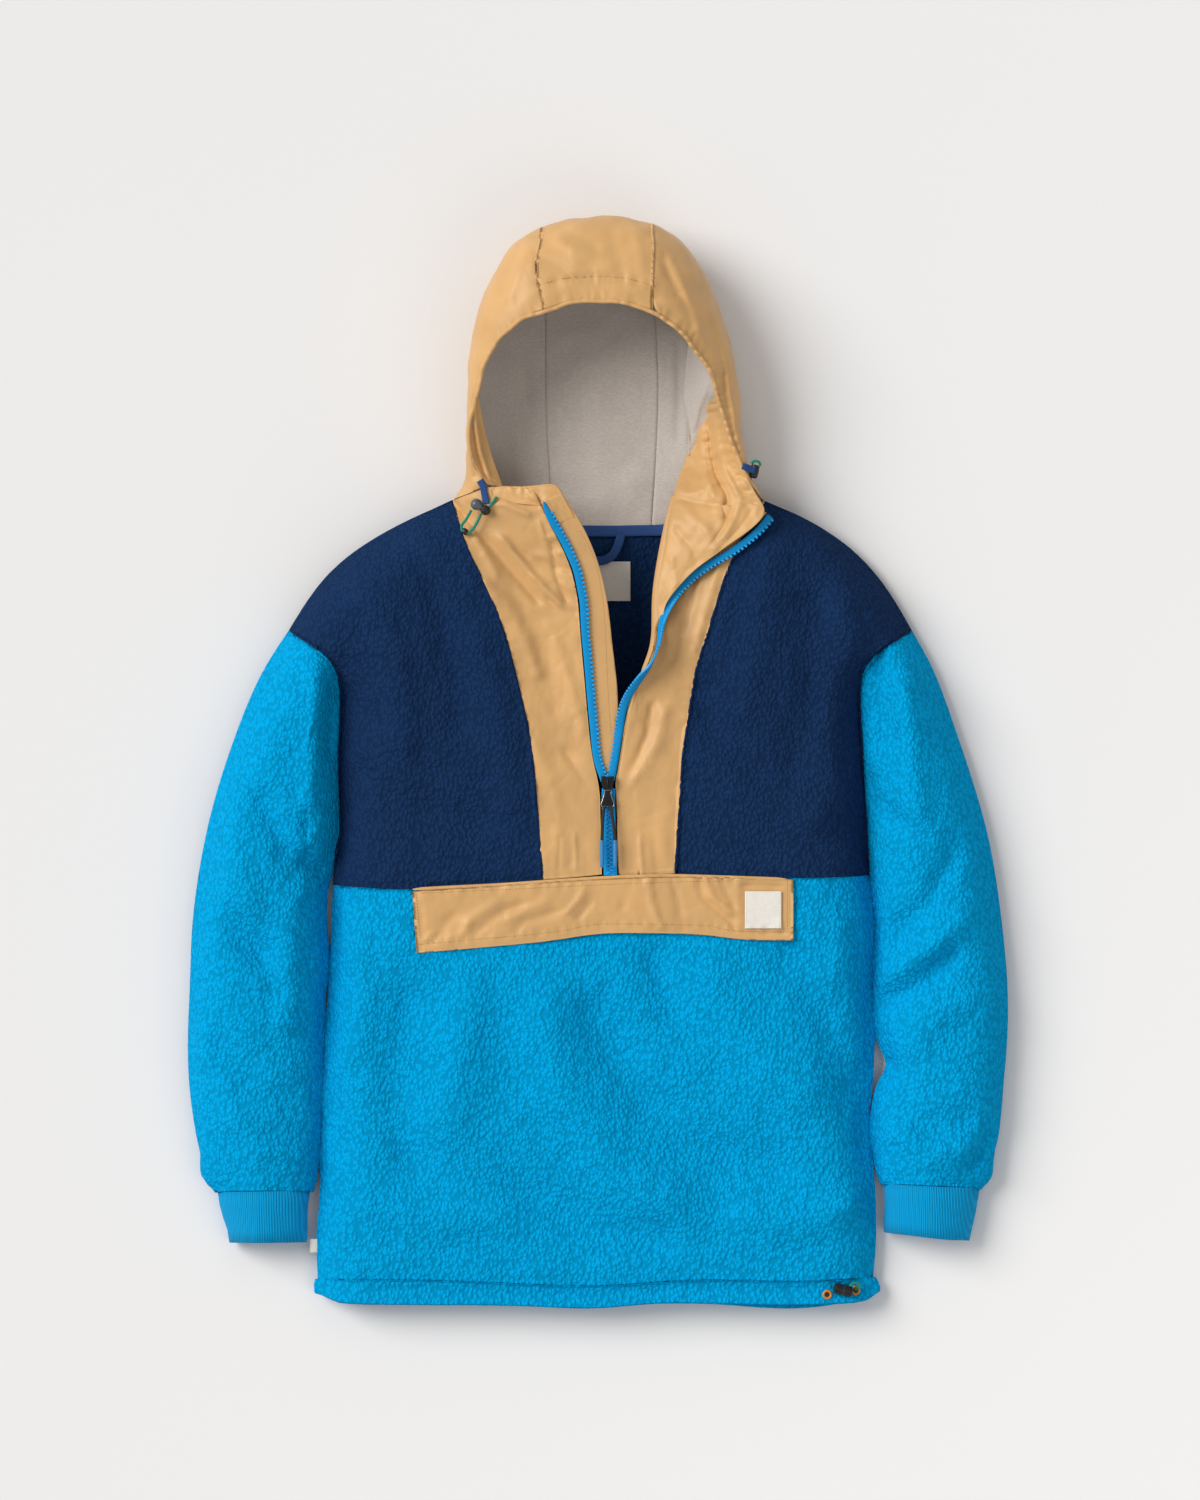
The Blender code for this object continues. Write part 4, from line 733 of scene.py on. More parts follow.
# Soft folds of the front that both walls of the cloth follow: line, half width, height
BODY_FOLDS = (
    (((-114.3, -202.1), (-121.5, -260.6), (-134.1, -323.6)), 22, 4.7),
    (((-44.1, -224.6), (-27.9, -296.6), (11.7, -359.6), (67.5, -400.1)), 24, 5.0),
    (((2.7, -224.6), (27.9, -287.6), (83.7, -341.6), (155.7, -368.6)), 20, -4.7),
    (((-170.1, -224.6), (-180.9, -296.6), (-168.3, -359.6)), 20, -4.0),
    (((106.2, -197.6), (130.5, -251.6), (182.7, -296.6)), 22, 4.3),
    (((52.2, -179.6), (63.9, -224.6)), 15, -3.4),
    (((173.7, -184.1), (202.5, -224.6), (224.1, -287.6)), 20, -4.0),
    (((-69.3, -386.6), (-6.3, -418.1), (56.7, -431.6)), 18, -3.7),
    (((-204.3, -395.6), (-141.3, -415.4), (-87.3, -409.1)), 16, 3.4),
    (((133.2, -409.1), (193.5, -420.8), (227.7, -395.6)), 16, 3.4),
    (((-220.5, -152.6), (-211.5, -206.6), (-220.5, -260.6)), 15, 3.7),
    (((220.5, -152.6), (216.9, -193.1)), 14, 3.1),
    (((-240.3, -305.6), (-226.8, -350.6)), 13, -3.1),
    (((-202.5, 153.5), (-179.1, 90.5), (-173.7, 18.4)), 17, 3.7),
    (((-155.7, 180.5), (-132.3, 108.5), (-121.5, 36.5)), 15, -3.4),
    (((-107.1, 108.5), (-85.5, 36.5), (-76.5, -35.6)), 16, 3.4),
    (((-207.9, -17.6), (-159.3, -46.4), (-105.3, -55.4)), 17, -3.4),
    (((-220.5, 63.5), (-202.5, 36.5)), 12, -3.1),
    (((-179.1, 223.7), (-148.5, 191.2)), 12, 3.1),
    (((153.9, 180.5), (146.7, 108.5), (130.5, 45.5)), 17, 3.7),
    (((193.5, 144.5), (193.5, 72.5), (182.7, 0.5)), 16, -3.4),
    (((103.5, 0.5), (139.5, -35.6), (191.7, -53.6)), 16, 3.1),
    (((220.5, 144.5), (227.7, 90.5)), 13, 3.4),
    (((92.7, 63.5), (103.5, 16.7)), 12, -2.8),
    (((173.7, 214.7), (204.3, 191.2)), 12, 3.1),
)
SLEEVE_FOLDS = (
    (((-252.9, 134.6), (-240.3, 115.7), (-230.4, 97.7)), 7, 5.1),
    (((-274.5, -71.5), (-261.9, -74.2), (-246.6, -78.8)), 8, 2.8),
    (((-328.5, -139.1), (-315.9, -152.6), (-301.5, -170.6)), 14, -3.0),
    (((-237.6, 68.9), (-239.4, 42.8), (-241.2, 7.7)), 6, -4.4),
    (((-252.0, 76.0), (-252.9, 27.4), (-257.4, -35.6)), 9, 4.2),
    (((-244.8, -26.6), (-247.5, -49.1), (-251.1, -69.8)), 8, 2.4),
    (((-261.9, -91.4), (-247.5, -96.8), (-236.7, -91.4)), 8, -4.8),
    (((-270.9, -125.5), (-276.3, -179.6), (-279.9, -233.6)), 15, 3.6),
    (((-321.3, -152.6), (-301.5, -170.6), (-287.1, -206.6)), 14, -3.6),
    (((-333.9, -35.6), (-324.9, -89.5), (-321.3, -143.6)), 16, 3.3),
    (((-339.3, -251.6), (-312.3, -287.6), (-278.1, -305.6)), 14, -3.0),
    (((-324.9, -323.6), (-301.5, -350.6), (-267.3, -357.8)), 11, 3.0),
    (((211.5, 144.5), (224.1, 121.0), (236.7, 97.7)), 8, 4.8),
    (((249.3, 99.5), (256.5, 54.5), (263.7, -8.6)), 11, -6.0),
    (((277.2, 63.5), (283.5, 9.5), (285.3, -44.6)), 14, 4.2),
    (((247.5, -17.6), (254.7, -41.0), (269.1, -55.4)), 9, -4.2),
    (((269.1, -159.8), (301.5, -122.0), (322.2, -78.8)), 11, -4.4),
    (((251.1, -218.2), (284.4, -205.7), (319.5, -175.1)), 10, -4.8),
    (((261.9, -192.2), (301.5, -168.8), (331.2, -139.1)), 10, 3.2),
    (((286.2, -251.6), (304.2, -224.6), (331.2, -215.6)), 14, 2.8),
    (((337.5, -364.1), (353.7, -337.9)), 7, -3.6),
    (((272.7, -314.6), (304.2, -328.1), (328.5, -323.6)), 12, -2.6),
    (((-301.5, -35.6), (-290.7, -53.6), (-281.7, -76.0)), 10, -4.2),
    (((-301.5, 63.5), (-288.9, 54.5)), 10, -2.8),
    (((269.1, -332.6), (301.5, -355.9), (332.1, -350.6)), 11, 3.0),
)
# Creases of the nylon
PLACKET_FOLDS = (
    (((-85.5, 199.3), (-59.4, 167.8), (-34.2, 140.8)), 3.6, 4.0),
    (((-99.9, 198.5), (-75.6, 168.8), (-54.0, 144.5)), 4.2, -4.0),
    (((-103.5, 229.1), (-82.8, 230.0), (-62.1, 221.0)), 3.2, 2.6),
    (((-91.8, 241.7), (-69.3, 231.8), (-51.3, 230.0)), 2.4, -2.3),
    (((-60.3, 239.0), (-53.1, 231.8), (-45.9, 223.7)), 2.2, 2.5),
    (((-40.5, 194.0), (-36.9, 167.0), (-27.9, 144.5)), 2.6, -2.5),
    (((-121.5, 230.0), (-107.1, 198.5), (-90.0, 167.0)), 4.0, 2.5),
    (((-19.8, 170.6), (-44.1, 175.1), (-72.9, 188.6)), 2.6, -2.6),
    (((-24.3, 187.7), (-42.3, 184.1), (-58.5, 183.2)), 2.6, 2.2),
    (((-19.8, 154.3), (-40.5, 161.6), (-58.5, 165.2)), 2.4, 2.0),
    (((-19.8, 133.7), (-30.6, 134.6), (-44.1, 144.5)), 2.4, -2.0),
    (((-37.8, 201.2), (-47.7, 199.3), (-51.3, 212.8)), 2.0, 2.2),
    (((-100.8, 158.0), (-81.0, 141.8), (-64.8, 109.4), (-54.0, 79.7)), 7.0, 2.6),
    (((-76.5, 153.5), (-51.3, 108.5), (-36.9, 50.0)), 9.0, -2.2),
    (((-37.8, 108.5), (-22.5, 63.5), (-11.7, 22.9)), 6.0, 1.8),
    (((-6.3, 45.5), (-13.5, 41.9), (-20.7, 36.5)), 1.8, -1.3),
    (((-0.9, -26.6), (-12.6, -15.8), (-27.9, 7.7)), 4.0, -2.0),
    (((-51.3, 9.5), (-36.9, -35.6), (-33.3, -89.5)), 8.0, 1.6),
    (((-19.8, -67.0), (-18.9, -96.8)), 2.2, 1.0),
    (((-33.3, -69.8), (-34.2, -96.8)), 2.2, -1.0),
    (((92.7, 194.0), (83.7, 144.5), (67.5, 90.5)), 4.0, -2.3),
    (((115.2, 198.5), (103.5, 153.5), (87.3, 99.5)), 4.4, 2.5),
    (((24.3, -24.8), (42.3, -5.9), (54.9, 16.7), (60.3, 43.6)), 5.0, 3.0),
    (((18.9, -16.7), (35.1, 0.5), (45.0, 22.1), (49.5, 49.1)), 4.2, -2.8),
    (((38.7, -68.0), (40.5, -96.8)), 2.4, 1.2),
    (((52.2, -71.5), (53.1, -96.8)), 2.4, -1.2),
    (((63.9, -35.6), (58.5, -58.1), (60.3, -80.5)), 6.0, 1.6),
)
PLACKET_PUCKERS = (
    (((-48.6, 232.7), (-27.9, 198.5), (-13.5, 162.5), (-8.1, 108.5)), 6.5, 13, 0.9),
    (((-117.9, 230.0), (-96.3, 167.0), (-76.5, 108.5), (-60.3, 18.4)), 9.0, 8, 0.55),
    (((-93.6, 245.2), (-68.4, 245.2), (-39.6, 247.1)), 7.0, 9, 0.8),
    (((133.2, 203.0), (110.7, 162.5), (83.7, 72.5), (71.1, -89.5)), 9.0, 8, 0.55),
)
FLAP_FOLDS = (
    (((-161.4, -116.5), (-159.3, -138.2), (-155.2, -164.2)), 1.4, -1.6),
    (((-155.2, -164.2), (-160.2, -171.5)), 1.2, -1.4),
    (((-108.0, -154.3), (-98.1, -145.3), (-84.6, -135.5), (-69.3, -130.1)), 4.4, -1.9),
    (((-116.1, -145.3), (-103.5, -135.5), (-89.1, -126.5)), 4.6, 1.5),
    (((-72.0, -152.6), (-65.7, -145.3), (-51.3, -140.8), (-36.9, -135.5)), 4.0, -1.8),
    (((-78.3, -141.8), (-65.7, -134.6), (-46.8, -127.4)), 4.4, 1.4),
    (((-140.4, -155.2), (-135.0, -145.3), (-127.8, -138.2)), 4.0, -1.3),
    (((-121.5, -156.2), (-114.3, -144.5)), 3.0, 1.5),
    (((-153.0, -161.6), (-147.6, -154.3)), 1.6, 1.6),
    (((-147.6, -163.3), (-143.1, -156.2)), 1.4, -1.4),
    (((-135.0, -163.3), (-130.5, -157.1)), 1.6, 1.4),
    (((-6.3, -108.5), (-15.3, -123.8), (-26.1, -136.3)), 2.6, 2.4),
    (((0.9, -109.4), (-4.5, -125.5), (-17.1, -141.8)), 2.6, -2.2),
    (((13.5, -107.5), (11.7, -116.5), (17.1, -127.4)), 2.4, 1.6),
    (((31.5, -107.5), (26.1, -118.4), (22.5, -132.8)), 2.6, -1.6),
    (((45.9, -105.8), (48.6, -125.5), (56.7, -149.0)), 3.0, 2.4),
    (((68.4, -105.8), (72.9, -125.5), (76.5, -150.8)), 2.8, -1.8),
    (((91.8, -106.7), (95.4, -123.8), (120.6, -145.3), (125.1, -152.6)), 2.8, -1.9),
    (((98.1, -106.7), (103.5, -122.0), (119.7, -136.3)), 2.8, 2.0),
    (((112.5, -106.7), (117.0, -120.2), (123.3, -131.0)), 2.2, -2.0),
    (((126.0, -106.7), (126.9, -125.5), (128.7, -147.2)), 2.2, 1.6),
    (((130.5, -154.3), (148.5, -156.2), (167.4, -154.3)), 1.8, -1.8),
    (((131.4, -113.0), (146.7, -112.0), (166.5, -113.0)), 1.8, -1.6),
    (((7.2, -138.2), (8.1, -150.8)), 1.4, -1.4),
)
FLAP_PUCKERS = (
    (((-163.8, -165.2), (-45.9, -154.3), (6.3, -146.2), (99.9, -148.1), (173.7, -153.5)), 9.0, 5, 0.9),
    (((-166.5, -115.7), (-48.6, -109.4), (5.4, -105.8), (71.1, -104.9), (128.7, -105.8)), 10.0, 9, 1.1),
)
FLAP_JOIN = ((-165.6, -115.7), (-132.3, -113.9), (-87.3, -111.6), (-48.6, -108.9), (5.4, -105.3),
             (38.7, -104.0), (71.1, -103.5), (119.7, -104.9), (171.0, -106.7))
HOOD_FOLDS = (
    (((-51.3, 472.9), (-68.4, 461.2), (-84.6, 446.9)), 6.0, -2.6),
    (((-58.5, 446.9), (-76.5, 437.9), (-90.0, 425.2)), 5.5, 1.6),
    (((55.8, 423.4), (74.7, 417.2), (89.1, 405.4), (102.6, 377.6)), 4.6, -1.8),
    (((60.3, 412.7), (77.4, 404.6), (90.0, 387.4)), 4.6, 1.6),
    (((-89.1, 448.7), (-103.5, 414.4), (-110.7, 373.9), (-113.4, 337.9)), 6.0, 2.8),
    (((-72.9, 448.7), (-87.3, 414.4), (-99.0, 385.7)), 4.6, -2.4),
    (((-63.0, 468.4), (-71.1, 441.4), (-80.1, 414.4)), 5.0, 2.0),
    (((-110.7, 324.4), (-112.5, 288.4), (-108.9, 256.1)), 3.6, -2.2),
    (((-27.9, 479.2), (-17.1, 468.4), (-4.5, 463.1)), 6.0, -1.8),
    (((-36.9, 468.4), (-22.5, 457.7), (-6.3, 454.1)), 4.0, 1.5),
    (((8.1, 486.4), (13.5, 463.1), (22.5, 439.7)), 6.5, -1.4),
    (((33.3, 481.1), (38.7, 459.4), (40.5, 441.4)), 5.0, 1.3),
    (((67.5, 448.7), (81.9, 414.4), (98.1, 378.4)), 5.0, 2.4),
    (((60.3, 448.7), (72.9, 418.1), (87.3, 391.1)), 4.0, -2.2),
    (((92.7, 423.4), (105.3, 387.4), (114.3, 349.7)), 4.6, -2.2),
    (((98.1, 414.4), (112.5, 369.4), (121.5, 324.4), (126.0, 288.4)), 4.0, 2.4),
    (((124.2, 342.4), (128.7, 301.1), (130.5, 280.4), (135.9, 268.7)), 3.6, 2.4),
    (((112.5, 346.1), (120.6, 306.4), (126.9, 277.7)), 3.0, -2.4),
    (((101.7, 396.4), (112.5, 364.1), (116.1, 333.4)), 2.4, -1.8),
    (((-54.9, 455.9), (-45.9, 448.7), (-27.9, 441.4)), 3.0, -1.0),
    (((-46.8, 414.4), (-33.3, 421.7), (-24.3, 427.1)), 2.2, 1.0),
    (((-54.0, 426.2), (-31.5, 432.0), (-3.6, 433.8), (25.2, 431.6), (51.3, 426.2)), 1.6, -2.2),
)
HOOD_PUCKERS = (
    (((-46.8, 425.2), (-24.3, 431.6), (-3.6, 432.9), (25.2, 431.6), (49.5, 425.2)), 7.5, 5.5, 1.7),
    (((-44.1, 409.1), (-22.5, 415.4), (6.3, 417.2), (38.7, 409.9)), 8.0, 4.5, 1.5),
    (((-50.4, 480.2), (-56.7, 452.2), (-54.9, 426.2), (-47.7, 404.6)), 7.5, 6, 0.9),
    (((49.5, 483.8), (53.1, 459.4), (52.2, 423.4), (50.4, 402.8)), 7.5, 6, 0.9),
    (((-51.3, 400.1), (-76.5, 387.4), (-92.7, 369.4), (-101.7, 342.4), (-107.1, 306.4)), 8.0, 8, 0.9),
    (((53.1, 400.1), (78.3, 383.9), (96.3, 358.7), (110.7, 324.4), (126.9, 274.9)), 8.0, 9, 1.1),
)
LINING_FOLDS = (
    (((80.1, 377.6), (81.9, 333.4), (80.1, 290.2)), 3.2, 2.4),
    (((72.9, 373.9), (73.8, 328.9), (72.0, 288.4)), 3.4, -1.8),
    (((-83.7, 378.4), (-78.3, 333.4), (-69.3, 288.4)), 6.0, 1.6),
    (((-65.7, 369.4), (-62.1, 315.4), (-56.7, 261.4)), 6.0, -1.5),
    (((-6.3, 387.4), (2.7, 324.4), (-0.9, 261.4)), 10.0, 1.2),
    (((-33.3, 261.4), (2.7, 247.1), (38.7, 252.5)), 8.0, 1.2),
)

# Facing of the right lapel and hood edge: left border x, y, z; right border x, y, z; how the height
# grows between them (above 1 it rises late)
FACING = (
    (107.5, 328.0, 66.0, 110.0, 326.0, 71.0, 1.0),
    (100.5, 321.0, 40.0, 112.6, 315.0, 70.5, 1.1),
    (95.0, 313.0, 22.0, 115.0, 306.0, 68.5, 1.1),
    (90.9, 305.0, 19.0, 117.6, 297.0, 66.8, 1.1),
    (85.5, 293.0, 18.5, 121.5, 285.5, 65.2, 1.15),
    (82.0, 279.5, 18.5, 125.5, 274.0, 64.2, 1.15),
    (78.0, 266.0, 20.0, 130.5, 261.5, 63.2, 1.25),
    (73.0, 252.5, 27.0, 136.8, 250.5, 64.0, 0.85),
    (69.5, 239.0, 35.5, 143.5, 238.5, 65.5, 0.62),
    (66.5, 225.5, 43.0, 150.6, 224.0, 67.6, 0.5),
    (63.5, 211.0, 47.0, 141.5, 210.3, 71.6, 0.45),
    (61.5, 192.0, 51.5, 112.8, 189.3, 70.4, 0.5),
    (57.3, 167.0, 57.0, 85.0, 168.2, 64.6, 0.6),
    (54.8, 143.0, 62.9, 64.0, 143.8, 64.8, 1.0),
    (56.5, 124.0, 66.5, 58.6, 125.0, 68.6, 1.0),
)
FACING_FOLDS = (
    (((100.8, 306.4), (102.6, 279.4), (107.1, 256.9), (117.0, 237.2), (116.1, 218.2)), 2.2, -4.2),
    (((107.1, 302.9), (109.8, 279.4), (116.1, 257.9), (126.0, 239.8)), 2.8, 3.2),
    (((93.6, 302.9), (94.5, 279.4), (98.1, 257.9), (104.4, 237.2)), 3.0, 2.8),
    (((71.1, 241.7), (83.7, 239.8), (96.3, 242.6)), 2.2, 2.8),
    (((72.9, 234.5), (88.2, 231.8), (103.5, 229.1)), 2.4, -2.4),
    (((94.5, 315.4), (96.3, 309.2), (92.7, 302.9)), 1.8, -2.0),
    (((86.4, 288.4), (91.8, 283.1), (98.1, 284.9)), 1.8, -2.0),
    (((83.7, 279.4), (91.8, 272.2), (92.7, 261.4)), 2.2, 1.8),
    (((114.3, 317.2), (117.9, 297.4), (124.2, 277.7)), 2.2, -2.6),
    (((83.7, 221.0), (98.1, 207.5), (107.1, 187.7)), 3.6, 2.2),
    (((71.1, 207.5), (83.7, 194.0), (92.7, 175.1)), 3.4, -2.0),
    (((128.7, 234.5), (123.3, 216.5), (112.5, 200.2)), 3.0, 2.2),
    (((119.7, 223.7), (114.3, 209.2), (103.5, 194.8)), 2.2, -2.0),
    (((139.5, 225.5), (130.5, 211.1), (119.7, 198.5)), 2.4, -1.4),
    (((67.5, 180.5), (71.1, 158.0), (67.5, 139.1)), 3.0, 1.3),
)
FACING_PUCKERS = (
    (((108.0, 324.4), (117.9, 297.4), (127.8, 267.8), (141.3, 230.0)), 8.5, 11, 2.6),
    (((98.1, 315.4), (99.9, 288.4), (107.1, 252.5), (116.1, 216.5)), 9.5, 10, 2.2),
    (((93.6, 313.7), (83.7, 288.4), (76.5, 261.4), (68.4, 225.5)), 9.0, 7, 0.9),
    (((151.2, 220.1), (124.2, 194.0), (92.7, 169.7), (67.5, 135.5)), 8.0, 8, 0.9),
)

# Loose fold of the lining beside that facing
PLEAT = (
    (82.8, 376.7, 40, 84.6, 374.9, 42, 1.0), (81.0, 364.1, 26, 94.5, 364.1, 50, 1.0),
    (79.5, 346.9, 20, 102.2, 350.6, 56, 1.0), (78.4, 327.2, 19, 108.0, 332.6, 54, 1.0),
    (81.3, 303.2, 20, 105.3, 315.4, 36, 1.0), (81.9, 281.2, 22, 95.4, 293.9, 23, 1.0),
    (81.9, 274.1, 22, 90.9, 279.4, 20, 1.0),
)
PLEAT_FOLDS = (
    (((100.8, 339.8), (92.7, 319.9), (87.3, 299.2)), 2.2, 1.6),
    (((80.1, 369.4), (78.3, 333.4), (81.9, 288.4)), 1.6, 2.4),
)

# Facing of the hood's left edge, and the hood's whole rim from left to right
LEFT_FACING = (
    (-108.6, 323.0, 71.5, -106.4, 326.0, 70.0, 1.0), (-112.0, 312.0, 68.8, -104.6, 315.0, 64.0, 0.9),
    (-115.0, 301.0, 66.6, -102.0, 303.0, 57.0, 0.9), (-115.2, 288.0, 64.4, -98.8, 289.5, 52.0, 0.9),
    (-113.2, 273.0, 62.0, -95.0, 275.5, 49.0, 0.9), (-109.0, 262.5, 60.8, -91.0, 263.0, 48.0, 0.9),
    (-102.5, 253.5, 60.6, -87.0, 252.0, 49.0, 0.9), (-98.0, 247.5, 60.2, -84.5, 244.5, 52.0, 1.0),
)
LEFT_FACING_FOLDS = (
    (((-108.9, 302.9), (-105.3, 279.4), (-98.1, 256.1)), 2.0, 2.6),
    (((-113.4, 324.4), (-111.6, 297.4), (-107.1, 272.2), (-99.9, 254.2)), 1.8, -2.6),
)
LEFT_FACING_PUCKERS = (
    (((-116.1, 310.1), (-114.3, 283.9), (-109.8, 261.4), (-96.3, 247.1)), 6.5, 9, 0.9),
)
HOOD_RIM = (
    (-101.5, 249.5, 60.8), (-105.5, 256, 61), (-110.5, 263.5, 61.4), (-114.2, 279, 63.2), (-115, 301, 67),
    (-108.2, 325, 73), (-103.3, 349.5, 79.8), (-96, 366.4, 88), (-87.2, 379.6, 96), (-77.3, 388.1, 100),
    (-66, 397, 104), (-47.7, 402.4, 105.2), (-22.5, 411, 106), (2, 411.6, 106.3), (26, 410, 106),
    (49.5, 401.6, 105), (67.4, 390.6, 103), (79.8, 379.6, 98), (87, 369.2, 93), (95.2, 358.5, 87),
    (103.3, 344.1, 80), (109.7, 322.5, 73.2), (117.6, 298, 67.2), (124.6, 276, 64.2), (130.8, 261, 63.2),
    (136.6, 251, 62.2), (140.6, 245, 61.4),
)
# The collar's rolled top: rim x, y, z; meeting with the placket x, y, z; how the height grows
COLLAR = (
    (-94.5, 244.7, 59.6, -93.6, 234.5, 60.2, 0.5), (-80.1, 245.2, 61.2, -78.3, 231.8, 63.6, 0.4),
    (-67.5, 244.9, 62.8, -65.7, 230.0, 65.2, 0.4), (-53.1, 246.0, 65.0, -53.1, 229.1, 66.4, 0.45),
    (-45.9, 246.9, 66.6, -48.6, 230.8, 69.2, 0.6), (-39.6, 246.8, 67.4, -46.8, 231.8, 70.4, 1.6),
    (-34.6, 243.5, 67.6, -44.1, 228.6, 70.6, 2.6), (-27.9, 230.8, 66.6, -40.1, 222.3, 69.4, 3.0),
    (-20.2, 217.8, 64.6, -32.9, 212.8, 66.4, 3.0),
)
COLLAR_FOLDS = (
    (((-67.5, 245.2), (-69.3, 239.8), (-64.8, 234.5)), 1.3, -1.3),
    (((-80.1, 244.3), (-74.7, 238.1), (-76.5, 231.8)), 1.8, 0.8),
    (((-58.5, 245.2), (-56.7, 238.1), (-59.4, 231.8)), 2.0, 0.8),
)
COLLAR_PUCKERS = (
    (((-93.6, 239.8), (-69.3, 239.0), (-46.8, 241.7)), 6.0, 6, 0.5),
)

# Where cloth swells sideways: place, reach, push across and along, height above which it fades (0: never)
BODY_BULGES = (
    ((243.9, -148.1), 34, (4.6, 0), 0), ((245.7, -184.1), 30, (3.2, 0), 0),
    ((244.8, -251.6), 26, (1.6, 0), 0),
    ((242.1, -327.2), 24, (-1.5, 0), 0), ((247.5, -377.6), 26, (1.6, 0), 0),
    ((-249.3, -314.6), 36, (-1.6, 0), 0),
    ((-251.1, -427.1), 22, (-1.2, 0), 0),
    ((240.3, -125.5), 30, (3.3, 0), 10), ((242.1, -179.6), 30, (3.3, 0), 10),
    ((242.1, -233.6), 30, (3.3, 0), 10),
    ((242.1, -287.6), 30, (3.6, 0), 10), ((243.9, -341.6), 30, (3.3, 0), 10),
    ((-235.8, -89.5), 28, (-2.8, 0), 10),
    ((-235.8, -134.6), 28, (-3.3, 0), 10), ((-238.5, -184.1), 28, (-3.3, 0), 10),
    ((-242.1, -233.6), 28, (-3.3, 0), 10),
    ((-245.7, -287.6), 30, (-2.8, 0), 10), ((-248.4, -341.6), 26, (-2.4, 0), 10),
)
SLEEVE_BULGES = (
    ((-250.2, -269.6), 34, (2.2, 0), 0), ((-252.0, -323.6), 34, (2.6, 0), 0),
    ((-257.4, -375.8), 22, (3.4, -1.5), 0),
    ((-351.9, -372.2), 15, (-7.5, -3.0), 0), ((353.7, -373.9), 15, (8.0, -3.0), 0),
    ((359.1, -346.9), 20, (3.4, 0), 0),
    ((367.2, -314.6), 20, (1.4, 0), 0), ((-357.3, -350.6), 18, (-1.6, 0), 0),
    ((257.4, -274.9), 13, (6.0, 0), 0), ((254.7, -373.9), 14, (-2.4, -1.5), 0),
    ((251.1, -125.5), 30, (-3.3, 0), 10), ((251.1, -179.6), 30, (-3.3, 0), 10),
    ((252.9, -233.6), 30, (-3.6, 0), 10),
    ((258.3, -278.6), 30, (-4.0, 0), 10), ((251.1, -332.6), 30, (-3.3, 0), 10),
    ((-244.8, -89.5), 28, (2.8, 0), 10),
    ((-247.5, -134.6), 28, (3.3, 0), 10), ((-245.7, -184.1), 28, (3.3, 0), 10),
    ((-249.3, -233.6), 28, (3.3, 0), 10),
    ((-251.1, -287.6), 30, (2.8, 0), 10), ((-252.9, -341.6), 26, (2.4, 0), 10),
)
HOOD_BULGES = (
    ((-48.6, 443.2), 20, (-5.4, 0), 0), ((-48.6, 423.4), 12, (-2.0, 0), 0), ((52.2, 454.9), 16, (1.4, 0), 0),
)
CUFF_BULGES = (
    ((-337.5, -431.6), 26, (9.0, 0.5), 0), ((-265.5, -431.6), 20, (4.5, 0), 0),
    ((-341.1, -388.4), 14, (1.5, 0), 0),
    ((261.9, -424.4), 22, (-3.6, 0), 0), ((334.8, -431.6), 14, (-1.6, 2.0), 0),
)
HEM_BULGES = (
    ((-252.9, -471.2), 12, (-2.6, 0.5), 0), ((-249.3, -487.4), 10, (2.0, 1.4), 0),
    ((252.9, -469.4), 11, (3.0, 0.5), 0),
    ((253.8, -485.6), 9, (-2.6, 2.0), 0), ((243.9, -480.2), 9, (0.6, -2.0), 0),
)

# Rolls that fill the seams: name, pieces, upper wall starts at, from where, radius, sink, finish
SEAMS = (
    ("seam_armhole_left", "sleeve_left", "front_yoke_left", 10, (-276.3, 115.7), 1.3, 0.5, "navy"),
    ("seam_armhole_right", "sleeve_right", "front_yoke_right", 10, (286.2, 115.7), 1.3, 0.5, "navy"),
    ("seam_yoke_left", "front_lower", "front_yoke_left", 12, (-233.1, -114.8), 1.3, 0.5, "navy"),
    ("seam_yoke_right", "front_lower", "front_yoke_right", 12, (238.5, -103.0), 1.3, 0.5, "navy"),
    ("seam_placket_left", "placket_left", "front_yoke_left", 20, (-129.6, 230.0), 1.2, 0.6, "navy"),
    ("seam_placket_right", "placket_right", "front_yoke_right", 20, (74.7, -98.5), 1.2, 0.6, "navy"),
    ("seam_hem", "hem_front", "front_lower", 12, (-251.1, -466.7), 1.4, 1.3, "blue"),
    # The hood's two rolls are dark brown: painted shade in the seams' grooves
    ("seam_hood_left", "hood_centre", "hood_side_left", 40, (-50.4, 484.7), 0.85, 0.45, "painted_seam_shade"),
    ("seam_hood_right", "hood_centre", "hood_side_right", 40, (49.5, 486.4), 0.85, 0.45, "painted_seam_shade"),
)

# Stitch lines: name, on which piece, lines
SEWN = (
    ("sewing_flap", "pocket_flap", (
        ((-164.7, -165.6), (-45.9, -154.8), (-10.8, -148.5), (6.3, -146.7), (68.4, -147.2), (99.9, -148.5),
         (124.2, -153.0), (174.6, -153.9)),
        ((-162.5, -119.2), (-158.4, -163.3)), ((171.0, -107.5), (171.0, -152.6)),
        ((-161.1, -119.2), (-69.3, -115.2), (2.7, -111.6), (92.7, -108.5), (171.9, -108.0)))),
    ("sewing_guard", "zip_guard", (
        ((-15.3, 206.6), (-8.1, 194.0), (-1.4, 177.8), (3.1, 158.8), (6.3, 133.7), (7.9, 108.5), (9.9, 63.5),
         (12.6, 22.9)),)),
    ("sewing_hood", "hood_centre", (
        ((-53.1, 425.7), (-28.8, 432.4), (-3.6, 433.8), (25.2, 432.4), (50.4, 425.7)),
        ((-46.4, 478.4), (-52.2, 452.2), (-51.3, 426.2), (-45.0, 404.6)),
        ((46.4, 481.9), (49.5, 459.4), (48.6, 425.2), (47.7, 404.6)))),
)

